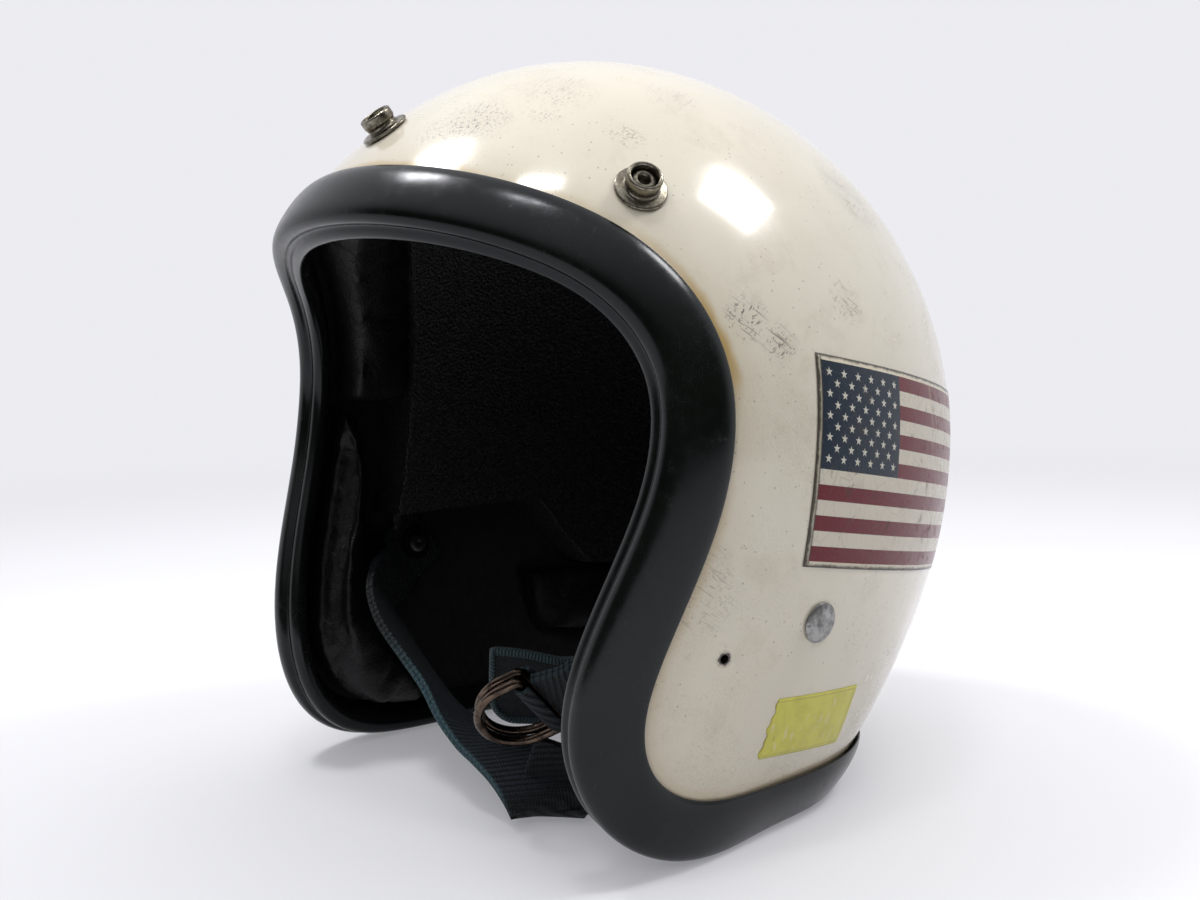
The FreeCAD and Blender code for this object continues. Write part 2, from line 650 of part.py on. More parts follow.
def smooth_between(values, steps):
    """Points of the smooth curve through the values, steps of them to each span."""
    points = []
    last = len(values) - 1
    for i in range(last):
        one, two = values[i], values[i + 1]
        slope_one = (two - values[max(i - 1, 0)]) / 2
        slope_two = (values[min(i + 2, last)] - one) / 2
        for k in range(steps):
            t = k / steps
            points.append(one * (2 * t ** 3 - 3 * t ** 2 + 1) + slope_one * (t ** 3 - 2 * t ** 2 + t)
                          + two * (3 * t ** 2 - 2 * t ** 3) + slope_two * (t ** 3 - t ** 2))
    return points + [values[-1]]


def ribbon(stations, width, thick, steps=3):
    """Band through (centre, width direction) stations, with square edges."""
    centres = smooth_between([centre for centre, _ in stations], steps)
    lies = smooth_between([V(lie).normalize() for _, lie in stations], steps)
    count = len(centres)
    wires = []
    for i, (centre, lie) in enumerate(zip(centres, lies)):
        run = (centres[min(i + 1, count - 1)] - centres[max(i - 1, 0)]).normalize()
        lie = (lie - run * lie.dot(run)).normalize()
        face = run.cross(lie)
        half, rise = lie * (width / 2), face * (thick / 2)
        corners = [centre - half - rise, centre + half - rise,
                   centre + half + rise, centre - half + rise]
        wires.append(Part.makePolygon(corners + corners[:1]))
    return Part.makeLoft(wires, True, True)


def rounded_end(centre, lie, thick):
    """Half-round end of a strap about the line that it flexes on."""
    lie = V(lie.x, lie.y, lie.z).normalize()
    radius = thick / 2 - END_EASE
    return Part.makeCylinder(radius, STRAP_WIDTH, centre - lie * (STRAP_WIDTH / 2), lie)


def make_strap_anchor(side):
    """Webbing from under the rivet washer to where the chin strap flexes."""
    point, normal = seat_at_y(1, *RIVET_AT)
    middle = point - normal * (SHELL_WALL + STRAP_SAG + STRAP_SLACK + STRAP_THICK / 2)
    flex, bend = V(*FLEX_POINT), V(*ANCHOR_BEND)
    upright = V(0, 0, -1)
    run = (bend - middle).normalize()
    along = (run - normal * run.dot(normal)).normalize()
    lie = along.cross(normal)
    if lie.dot(upright) < 0:
        lie = lie * -1
    start = middle - along * (RIVET_WASHER_RADIUS + 2)
    leave = middle + along * (RIVET_WASHER_RADIUS + 1)
    last = V(flex.x, flex.y, flex.z) - (flex - bend).normalize() * (DOUBLED / 2 + STRAP_GAP)
    band = ribbon([(start, lie), (middle, lie), (leave, lie), (bend, lie + upright * 2),
                   (last, upright)], STRAP_WIDTH, STRAP_THICK)
    band = band.cut(drill(middle, normal, RIVET_SHANK_RADIUS + HOLE_CLEARANCE, 10))
    return band if side > 0 else mirrored(band)


def make_chin_strap_long():
    stations = [(V(*centre), V(*lie)) for centre, lie in LONG_STRAP_ROUTE]
    return ribbon(stations, STRAP_WIDTH, DOUBLED).fuse(rounded_end(*stations[0], DOUBLED))


def short_strap_frame():
    """Bar centre, run towards the rings, bar direction and face of the short strap's end."""
    centre = V(*BAR_CENTRE)
    back = (V(*FLEX_POINT) - centre).normalize()
    bar = V(*BAR_LIE)
    bar = (bar - back * bar.dot(back)).normalize()
    face = back.cross(bar).normalize()
    if face.z < 0:
        face = face * -1
    return centre, back, bar, face


def make_chin_strap_short():
    """Short webbing with a sewn loop round the two ring bars."""
    centre, back, bar, face = short_strap_frame()
    hollow = RING_WIRE_RADIUS + RING_CLEARANCE
    outer = hollow + STRAP_THICK
    half_pitch = RING_PITCH / 2
    flex = V(*FLEX_POINT)
    down = V(0, 0, -1)
    level = V(-back.x, -back.y, 0).normalize()
    sewn = centre + back * (outer - STRAP_THICK / 2)
    stations = [(flex, down), (flex + level * 6, down)]
    twist_steps = 6
    first, last = flex + level * 12 + down, centre + back * (outer + 10)
    for i in range(twist_steps + 1):
        share = i / twist_steps
        stations.append((first + (last - first) * share, down * (1 - share) + bar * share))
    stations.append((sewn, bar))
    band = ribbon(stations, STRAP_WIDTH, DOUBLED).fuse(rounded_end(flex, down, DOUBLED))
    turn_up = centre + face * half_pitch
    turn_down = centre - face * half_pitch
    loop = Part.makeCylinder(outer, STRAP_WIDTH, turn_up - bar * (STRAP_WIDTH / 2), bar)
    loop = loop.fuse(Part.makeCylinder(outer, STRAP_WIDTH,
                                       turn_down - bar * (STRAP_WIDTH / 2), bar))
    loop = loop.fuse(slab(centre, face, bar, back, RING_PITCH, STRAP_WIDTH, 2 * outer))
    body = band.fuse(loop)
    long_bar = 2 * STRAP_WIDTH
    for turn in (turn_up, turn_down):
        body = body.cut(Part.makeCylinder(hollow, long_bar, turn - bar * (long_bar / 2), bar))
    body = body.cut(slab(centre, face, bar, back, RING_PITCH, long_bar, 2 * hollow))
    return body


def slab(centre, one, two, three, size_one, size_two, size_three):
    """Block about a centre, with its sides along three directions."""
    corner = (centre - one * (size_one / 2) - two * (size_two / 2) - three * (size_three / 2))
    base = Part.makePolygon([corner, corner + one * size_one,
                             corner + one * size_one + two * size_two,
                             corner + two * size_two, corner])
    return Part.Face(base).extrude(three * size_three)


def make_strap_pad():
    """Lined flap sewn beside the short strap, behind the rings."""
    lean = V(0, 0.1, 1.0)
    return ribbon([(V(*centre), lean) for centre in FLAP_ROUTE], FLAP_WIDTH, FLAP_THICK)


def make_d_ring(level):
    """D of round wire about its bar, level +1 for the upper ring and -1 for the lower."""
    centre, back, bar, face = short_strap_frame()
    droop = math.radians(RING_DROOP)
    down = back * -math.cos(droop) - face * math.sin(droop)
    middle = centre + face * (level * RING_PITCH / 2)
    half = RING_BAR / 2
    corner = RING_CORNER
    shoulder = RING_DEPTH - half

    def at(along, out):
        return middle + bar * along + down * out

    tip = math.sqrt(0.5)
    path = Part.Wire([
        Part.makeLine(at(-half + corner, 0), at(half - corner, 0)),
        Part.Arc(at(half - corner, 0), at(half - corner + corner * tip, corner - corner * tip),
                 at(half, corner)).toShape(),
        Part.makeLine(at(half, corner), at(half, shoulder)),
        Part.Arc(at(half, shoulder), at(0, RING_DEPTH), at(-half, shoulder)).toShape(),
        Part.makeLine(at(-half, shoulder), at(-half, corner)),
        Part.Arc(at(-half, corner), at(-half + corner - corner * tip, corner - corner * tip),
                 at(-half + corner, 0)).toShape(),
    ])
    section = Part.Wire([Part.makeCircle(RING_WIRE_RADIUS, at(-half + corner, 0), bar)])
    return path.makePipeShell([section], True, True)


# ---------------------------------------------------------------------------
# Decals
# ---------------------------------------------------------------------------


def on_skin(outline_points, thickness=DECAL_THICK):
    """Thin patch on the left of the shell with a side-view outline."""
    outline = side_polygon(outline_points)
    skin = dome(-DECAL_LIFT - thickness).cut(dome(-DECAL_LIFT))
    return skin.common(outline).common(half_space(1))


def make_flag_decal():
    front, top, bottom = FLAG_FRONT
    lean = (top - bottom) * FLAG_LEAN
    drop = FLAG_LENGTH * FLAG_SLOPE
    return on_skin([(front, top), (front + FLAG_LENGTH, top - drop),
                    (front + FLAG_LENGTH - lean, bottom - drop), (front - lean, bottom)])


def make_plain_decal():
    return on_skin([PLATE_TOP_LEFT, PLATE_TOP_RIGHT, PLATE_BOTTOM_RIGHT, PLATE_BOTTOM_LEFT])


# ---------------------------------------------------------------------------
# All pieces
# ---------------------------------------------------------------------------


def build():
    snaps = snap_seats()
    rivets = rivet_seats()
    pieces = {
        "shell": make_shell(),
        "edge_trim": make_edge_trim(),
        "impact_liner": make_impact_liner(),
        "crown_lining": make_crown_lining(),
        "brow_pad": make_brow_pad(),
        "nape_pad": make_nape_pad(),
        "chin_strap_long": make_chin_strap_long(),
        "chin_strap_short": make_chin_strap_short(),
        "strap_pad": make_strap_pad(),
        "d_ring_upper": make_d_ring(1),
        "d_ring_lower": make_d_ring(-1),
        "flag_decal": make_flag_decal(),
        "plain_decal": make_plain_decal(),
    }
    for name, side in SIDES.items():
        pieces["cheek_pad_" + name] = make_cheek_pad(side)
        pieces["strap_rivet_" + name] = make_strap_rivet(rivets[name])
        pieces["rivet_washer_" + name] = make_rivet_washer(rivets[name])
        pieces["strap_anchor_" + name] = make_strap_anchor(side)
    for name, seat in snaps.items():
        pieces["snap_stud_" + name] = make_snap_stud(seat)
        pieces["snap_eyelet_" + name] = make_snap_eyelet(seat)
        pieces["snap_washer_" + name] = make_snap_washer(seat)
    return pieces


if __name__ == "__main__":
    os.makedirs("parts", exist_ok=True)
    for name, shape in build().items():
        shape = shape.copy()
        shape.translate(V(0, ORIGIN_SHIFT, 0))
        solid = shape if shape.ShapeType == "Solid" else Part.makeCompound(shape.Solids)
        solid.exportStep("parts/" + name + ".step")
        print(name, shape.isValid(), len(shape.Solids), round(shape.Volume))
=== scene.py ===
import math

import bpy
import bmesh
import numpy as np
from mathutils import Matrix, Vector


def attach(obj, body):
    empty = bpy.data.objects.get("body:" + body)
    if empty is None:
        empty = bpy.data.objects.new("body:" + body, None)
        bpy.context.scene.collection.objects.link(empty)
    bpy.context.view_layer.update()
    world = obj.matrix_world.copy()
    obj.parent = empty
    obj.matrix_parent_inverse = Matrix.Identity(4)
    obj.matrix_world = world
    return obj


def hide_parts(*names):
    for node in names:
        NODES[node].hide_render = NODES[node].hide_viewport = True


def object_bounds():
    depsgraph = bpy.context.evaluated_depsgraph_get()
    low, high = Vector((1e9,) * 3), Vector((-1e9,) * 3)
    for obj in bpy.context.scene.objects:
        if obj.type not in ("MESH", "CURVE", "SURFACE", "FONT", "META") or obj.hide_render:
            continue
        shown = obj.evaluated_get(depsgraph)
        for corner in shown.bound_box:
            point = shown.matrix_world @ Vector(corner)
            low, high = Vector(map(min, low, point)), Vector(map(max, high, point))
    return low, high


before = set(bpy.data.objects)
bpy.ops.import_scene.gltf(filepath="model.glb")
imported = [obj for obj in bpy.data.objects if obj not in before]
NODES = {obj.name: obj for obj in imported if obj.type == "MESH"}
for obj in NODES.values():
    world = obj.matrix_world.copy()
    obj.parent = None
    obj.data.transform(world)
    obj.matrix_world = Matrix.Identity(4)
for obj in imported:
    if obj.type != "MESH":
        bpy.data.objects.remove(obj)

CAD_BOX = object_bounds()
FLOOR = CAD_BOX[0][2]

# ---- The shell's own dimensions, millimetres, before the origin's shift ----
HALF_WIDTH, FRONT_REACH, BACK_REACH = 123.0, 143.0, 151.0
WIDE_LINE, CROWN_RISE = 127.0, 141.0
CROWN_FULLNESS, LOWER_FULLNESS = 0.69, 0.70
FRONT_DEPTH, SIDE_DEPTH, BACK_DEPTH, QUARTER_TUCK = 500.0, 188.0, 150.0, 17.0
WALL = 3.8
DOME_FOOT, FOOT_SHARE, ROWS, COLUMNS = 75.0, 0.93, 18, 40
BROW_HEIGHT, NAPE_HEIGHT = 209.8, 19.0
EDGE = [(-104.0, 204.3), (-90.8, 196.5), (-77.6, 185.8), (-68.0, 172.0), (-63.2, 155.0),
        (-63.6, 138.0), (-67.3, 120.0), (-74.6, 99.0), (-82.6, 77.0), (-86.9, 57.0),
        (-85.4, 38.0), (-76.0, 20.5), (-59.0, 9.2), (-36.0, 5.0), (-4.0, 4.6),
        (28.0, 4.6), (54.0, 5.6), (76.0, 8.6), (94.0, 13.4)]
SHIFT = np.array([0.0, -16.0, 0.0])
LINER = 0.4 + 18.0


def metres(points):
    """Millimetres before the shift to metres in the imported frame."""
    return (np.asarray(points, float) + SHIFT) / 1000


def unit(v):
    v = np.asarray(v, float)
    return v / np.linalg.norm(v, axis=-1, keepdims=True)


def running_length(points):
    """Length along a chain of points, 0 at its start."""
    return np.concatenate([[0], np.cumsum(np.linalg.norm(np.diff(points, axis=0), axis=1))])


def hermite(a, slope_a, b, slope_b, t):
    """Cubic from a to b as t goes from 0 to 1."""
    return (a * (2 * t ** 3 - 3 * t ** 2 + 1) + slope_a * (t ** 3 - 2 * t ** 2 + t)
            + b * (3 * t ** 2 - 2 * t ** 3) + slope_b * (t ** 3 - t ** 2))


def spline_weights(t):
    """Weights of four neighbouring poles of a uniform cubic spline."""
    return ((1 - t) ** 3 / 6, (3 * t ** 3 - 6 * t ** 2 + 4) / 6,
            (-3 * t ** 3 + 3 * t ** 2 + 3 * t + 1) / 6, t ** 3 / 6)


# ---- Curves and the shell's surface ----

class Smooth:
    """Cubic curve with continuous curvature through values at rising parameters."""

    def __init__(self, at, values):
        self.at = np.asarray(at, float)
        self.values = np.asarray(values, float)
        n = len(self.at)
        h = np.diff(self.at)
        rate = np.diff(self.values, axis=0) / h.reshape([-1] + [1] * (self.values.ndim - 1))
        system = np.zeros((n, n))
        right = np.zeros_like(self.values)
        system[0, 0] = system[-1, -1] = 1
        right[0] = rate[0] - (rate[1] - rate[0]) * h[0] / (h[0] + h[1])
        right[-1] = rate[-1] + (rate[-1] - rate[-2]) * h[-1] / (h[-1] + h[-2])
        for i in range(1, n - 1):
            system[i, i - 1:i + 2] = h[i], 2 * (h[i - 1] + h[i]), h[i - 1]
            right[i] = 3 * (h[i] * rate[i - 1] + h[i - 1] * rate[i])
        self.slopes = np.linalg.solve(system, right.reshape(n, -1)).reshape(right.shape)

    def __call__(self, where):
        where = np.asarray(where, float)
        i = np.clip(np.searchsorted(self.at, where, "right") - 1, 0, len(self.at) - 2)
        step = self.at[i + 1] - self.at[i]
        t = (where - self.at[i]) / step
        shape = list(t.shape) + [1] * (self.values.ndim - 1)
        t, step = t.reshape(shape), step.reshape(shape)
        return hermite(self.values[i], self.slopes[i] * step,
                       self.values[i + 1], self.slopes[i + 1] * step, t)


def arc_width(rise, weight):
    q = 1 - np.minimum(rise, 1)
    g = 4 * weight * weight
    return (-(g - 2) * q + np.sqrt(np.maximum((g - 2) ** 2 * q * q - 4 * (q * q - g * q), 0))) / 2


def lower_depth(angle):
    front = np.cos(angle) > 0
    depth = (SIDE_DEPTH * np.sin(angle) ** 2
             + np.where(front, FRONT_DEPTH, BACK_DEPTH) * np.cos(angle) ** 2)
    return np.where(front, depth, depth - QUARTER_TUCK * np.sin(2 * angle) ** 2)


def dome_point(angle, height, inset):
    angle, height = np.broadcast_arrays(np.asarray(angle, float), np.asarray(height, float))
    above = height >= WIDE_LINE
    rise = np.where(above, (height - WIDE_LINE) / (CROWN_RISE - inset),
                    (WIDE_LINE - height) / (lower_depth(angle) - inset))
    width = np.where(above, arc_width(rise, CROWN_FULLNESS), arc_width(rise, LOWER_FULLNESS))
    reach = np.where(np.cos(angle) > 0, FRONT_REACH, BACK_REACH) - inset
    return np.stack([(HALF_WIDTH - inset) * width * np.sin(angle),
                     -reach * width * np.cos(angle), height], -1)


def closed_poles(values):
    """Control points of the closed cubic spline through values, along the first axis."""
    poles = values.copy()
    for _ in range(12):
        poles = poles + values - (np.roll(poles, 1, 0) + 4 * poles + np.roll(poles, -1, 0)) / 6
    return poles


class Dome:
    """The shell's surface moved inwards: u is the plan angle's column, v the height's row."""

    def __init__(self, inset=0.0):
        angles = 2 * np.pi * np.arange(COLUMNS) / COLUMNS
        least = lower_depth(angles).min() - inset
        self.drop = least * FOOT_SHARE / math.sin(math.radians(DOME_FOOT))
        latitude = np.radians((90 + DOME_FOOT) * np.arange(ROWS + 1) / ROWS - DOME_FOOT)
        rise = np.where(latitude > 0, CROWN_RISE - inset, self.drop)
        rows = []
        for height in WIDE_LINE + rise * np.sin(latitude):
            rows.append(closed_poles(dome_point(angles, height, inset)))
        rows[-1][:] = (0, 0, WIDE_LINE + CROWN_RISE - inset)
        self.curve = Smooth(np.arange(ROWS + 1), np.array(rows))
        self.fine = np.linspace(0, ROWS, 4001)
        self.heights = self.curve(self.fine)[:, 0, 2]

    def at(self, u, v):
        u, v = np.broadcast_arrays(np.asarray(u, float), np.asarray(v, float))
        column = np.floor(u).astype(int)
        t = u - column
        i = np.clip(v.astype(int), 0, ROWS - 1)
        s = (v - i)[..., None]
        values, slopes = self.curve.values, self.curve.slopes
        total = 0
        for k, weight in enumerate(spline_weights(t)):
            c = (column + k - 1) % COLUMNS
            along = hermite(values[i, c], slopes[i, c], values[i + 1, c], slopes[i + 1, c], s)
            total = total + along * weight[..., None]
        return total

    def row(self, height):
        return np.interp(height, self.heights, self.fine)

    def column(self, y, height):
        """u on the left half at which the surface has a given y at a height."""
        v = self.row(height)
        low, high = np.zeros_like(v), np.full_like(v, COLUMNS / 2)
        for _ in range(40):
            middle = (low + high) / 2
            beyond = self.at(middle, v)[..., 1] > y
            low, high = np.where(beyond, low, middle), np.where(beyond, middle, high)
        return (low + high) / 2

    def normal(self, u, v):
        e = 0.01
        along = self.at(u + e, v) - self.at(u - e, v)
        up = self.at(u, np.minimum(v + e, ROWS)) - self.at(u, v - e)
        return unit(np.cross(along, up))

    def side_seat(self, y, height, side=1):
        """Point and outward normal at (y, height) on one side."""
        v = self.row(np.asarray(height, float))
        u = self.column(np.asarray(y, float), np.asarray(height, float))
        point, normal = self.at(u, v), self.normal(u, v)
        flip = np.array([side, 1, 1])
        return point * flip, normal * flip


OUTER = Dome()


def side_curve(count=2400):
    """The edge's side view, brow to nape: (y, height) points."""
    start, end = dome_point(0.0, BROW_HEIGHT, 0.0), dome_point(math.pi, NAPE_HEIGHT, 0.0)
    points = np.array([(start[1], start[2])] + EDGE + [(end[1], end[2])])
    chords = running_length(points)
    share = (1 - np.cos(np.pi * np.linspace(0, 1, count))) / 2
    return Smooth(chords, points)(chords[-1] * share)


def edge_uv(count):
    """The shell's edge on the left half, brow to nape, evenly spaced: u and v."""
    fine = side_curve()
    v = OUTER.row(fine[:, 1])
    u = OUTER.column(fine[:, 0], fine[:, 1])
    u[0], u[-1] = 0, COLUMNS / 2
    length = running_length(OUTER.at(u, v))
    wanted = np.linspace(0, length[-1], count + 1)
    return np.interp(wanted, length, u), np.interp(wanted, length, v)


def round_edge(count):
    """The whole edge, a closed loop of 2 x count stations: points and outward normals."""
    u, v = edge_uv(count)
    u = np.concatenate([u, -u[-2:0:-1]])
    v = np.concatenate([v, v[-2:0:-1]])
    return OUTER.at(u, v), OUTER.normal(u, v)


# ---- Meshes ----

def mesh_object(name, vertices, faces, mm=True):
    """Smooth-shaded mesh from points in mm before the shift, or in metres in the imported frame."""
    data = bpy.data.meshes.new(name)
    vertices = metres(vertices) if mm else np.asarray(vertices, float)
    data.from_pydata(vertices.tolist(), [], [list(map(int, f)) for f in faces])
    data.validate()
    data.polygons.foreach_set("use_smooth", [True] * len(data.polygons))
    data.update()
    piece = bpy.data.objects.new(name, data)
    bpy.context.scene.collection.objects.link(piece)
    return piece


def grid_faces(rows, columns, close_rows=False, close_columns=False, start=0):
    i = np.arange(rows if close_rows else rows - 1)
    j = np.arange(columns if close_columns else columns - 1)
    i, j = np.meshgrid(i, j, indexing="ij")
    a, b = i.ravel(), j.ravel()
    c, d = (a + 1) % rows, (b + 1) % columns
    return (np.stack([a * columns + b, a * columns + d, c * columns + d, c * columns + b], 1)
            + start)


def outward(piece):
    bm = bmesh.new()
    bm.from_mesh(piece.data)
    bmesh.ops.recalc_face_normals(bm, faces=bm.faces)
    bm.to_mesh(piece.data)
    bm.free()
    return piece


def give_uv(piece, uv):
    """UVs by vertex, uv is (count, 2)."""
    layer = piece.data.uv_layers.new(name="UVMap")
    loops = np.zeros(len(piece.data.loops), np.int32)
    piece.data.loops.foreach_get("vertex_index", loops)
    layer.data.foreach_set("uv", np.asarray(uv, np.float32)[loops].ravel())


def finish_piece(piece, body, material, *nodes, slot=None):
    if material:
        piece.data.materials.clear()
        piece.data.materials.append(material)
    if nodes:
        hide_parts(*nodes)
    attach(piece, body)
    return piece


def lathe(name, profile, point, normal, segments=64):
    """Solid turned about a seat's normal from a closed profile of (radius, height), in mm."""
    normal = np.asarray(normal, float)
    side = unit(np.cross(normal, (0, 0, 1.0)))
    other = np.cross(normal, side)
    angles = 2 * np.pi * np.arange(segments) / segments
    ring = np.cos(angles)[:, None] * side + np.sin(angles)[:, None] * other
    vertices = [point + ring * r + normal * h for r, h in profile]
    faces = grid_faces(len(profile), segments, close_columns=True)
    return outward(mesh_object(name, np.concatenate(vertices), faces))


def eased(profile, ease=0.12):
    """Closed profile with each corner cut back, so that edges catch the light."""
    out, n = [], len(profile)
    for i in range(n):
        p, a, b = (np.array(profile[k % n], float) for k in (i, i - 1, i + 1))
        for q in (a, b):
            length = np.linalg.norm(q - p)
            out.append(tuple(p + (q - p) / length * min(ease, length * 0.3)))
    return out


def sleeve(name, rows, uv):
    """Closed-end sleeve through rings of points, with its UVs."""
    count, columns = len(rows), len(rows[0])
    faces = grid_faces(count, columns, close_columns=True).tolist()
    faces += [list(range(columns))[::-1], [(count - 1) * columns + k for k in range(columns)]]
    piece = outward(mesh_object(name, np.concatenate(rows), faces))
    give_uv(piece, np.concatenate(uv))
    return piece


# ---- Materials ----

class Paint:
    """A node material: a Principled surface and short ways to build what drives it."""

    def __init__(self, name, **sockets):
        self.material = bpy.data.materials.new(name)
        self.material.use_nodes = True
        self.tree = self.material.node_tree
        self.tree.nodes.clear()
        output = self.tree.nodes.new("ShaderNodeOutputMaterial")
        self.surface = self.tree.nodes.new("ShaderNodeBsdfPrincipled")
        self.tree.links.new(self.surface.outputs[0], output.inputs[0])
        self.set(**sockets)

    def set(self, **sockets):
        for name, value in sockets.items():
            self.plug(self.surface.inputs[name.replace("_", " ")], value)
        return self

    def plug(self, socket, value):
        if isinstance(value, bpy.types.NodeSocket):
            self.tree.links.new(value, socket)
        elif isinstance(value, (tuple, list)) and len(value) == 3 and socket.type == "RGBA":
            socket.default_value = (*value, 1)
        else:
            socket.default_value = value

    def node(self, kind, inputs=(), **settings):
        node = self.tree.nodes.new("ShaderNode" + kind)
        for key, value in settings.items():
            setattr(node, key, value)
        for key, value in dict(inputs).items():
            self.plug(node.inputs[key], value)
        return node

    def math(self, operation, a, b=None):
        inputs = {0: a} if b is None else {0: a, 1: b}
        return self.node("Math", inputs, operation=operation).outputs[0]

    def add(self, a, b):
        return self.math("ADD", a, b)

    def sub(self, a, b):
        return self.math("SUBTRACT", a, b)

    def mul(self, a, b):
        return self.math("MULTIPLY", a, b)

    def less(self, a, b):
        return self.math("LESS_THAN", a, b)

    def both(self, a, b):
        return self.math("MINIMUM", a, b)

    def either(self, a, b):
        return self.math("MAXIMUM", a, b)

    def fade(self, value, low, high, to_low=0.0, to_high=1.0):
        return self.node("MapRange", {0: value, 1: low, 2: high, 3: to_low, 4: to_high},
                         interpolation_type="SMOOTHSTEP").outputs[0]

    def mix(self, factor, a, b):
        node = self.node("Mix", data_type="RGBA")
        self.plug(node.inputs[0], factor)
        self.plug(node.inputs[6], a)
        self.plug(node.inputs[7], b)
        return node.outputs[2]

    def place(self):
        """Position in the object's own frame, metres."""
        return self.node("TexCoord").outputs["Object"]

    def split(self, vector):
        return self.node("SeparateXYZ", {0: vector}).outputs

    def stretch(self, vector, scale, turn=(0, 0, 0)):
        return self.node("Mapping", {0: vector, 2: turn, 3: scale}).outputs[0]

    def noise(self, vector, scale, detail=3.0, rough=0.5, warp=0.0):
        return self.node("TexNoise", {"Vector": vector, "Scale": scale, "Detail": detail,
                                      "Roughness": rough, "Distortion": warp}).outputs[0]

    def cells(self, vector, scale, feature="F1"):
        inputs = {"Vector": vector, "Scale": scale}
        return self.node("TexVoronoi", inputs, feature=feature).outputs[0]

    def distance(self, vector, point):
        return self.node("VectorMath", {0: vector, 1: point}, operation="DISTANCE").outputs["Value"]

    def attribute(self, name):
        return self.node("Attribute", attribute_name=name).outputs["Fac"]

    def uv(self):
        return self.split(self.node("UVMap", uv_map="UVMap").outputs[0])

    def bump(self, height, distance, strength=1.0):
        inputs = {"Height": height, "Distance": distance, "Strength": strength}
        return self.node("Bump", inputs).outputs[0]


def strokes(p, vector, turn, threshold):
    """Short drawn strokes along one direction."""
    turned = p.stretch(vector, (1, 1, 1), turn)
    field = p.noise(p.stretch(turned, (1500, 70, 1500)), 1.0, 1, 0.5, 0.8)
    return p.fade(field, threshold, threshold + 0.05)


# scuffed spots on the shell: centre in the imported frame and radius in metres, strength
SCUFFS = [((0.034, -0.0966, 0.236), 0.011, 1.0), ((0.024, -0.1043, 0.2337), 0.007, 0.7),
          ((0.1118, -0.0538, 0.1716), 0.007, 1.0), ((0.1163, -0.044, 0.1632), 0.006, 1.0),
          ((0.0723, -0.0649, 0.2296), 0.006, 0.5), ((0.0905, 0.025, 0.2136), 0.014, 0.9),
          ((0.064, -0.0363, 0.2451), 0.009, 0.5), ((0.115, -0.0094, 0.1759), 0.007, 0.8),
          ((0.0444, -0.0684, 0.2473), 0.012, 0.45), ((0.1105, -0.0752, 0.0913), 0.013, 0.5),
          ((-0.06, -0.07, 0.228), 0.012, 0.8), ((-0.112, -0.03, 0.15), 0.012, 0.8),
          ((-0.108, 0.03, 0.09), 0.014, 0.7), ((0.03, 0.125, 0.15), 0.016, 0.8),
          ((-0.05, 0.105, 0.21), 0.014, 0.7)]


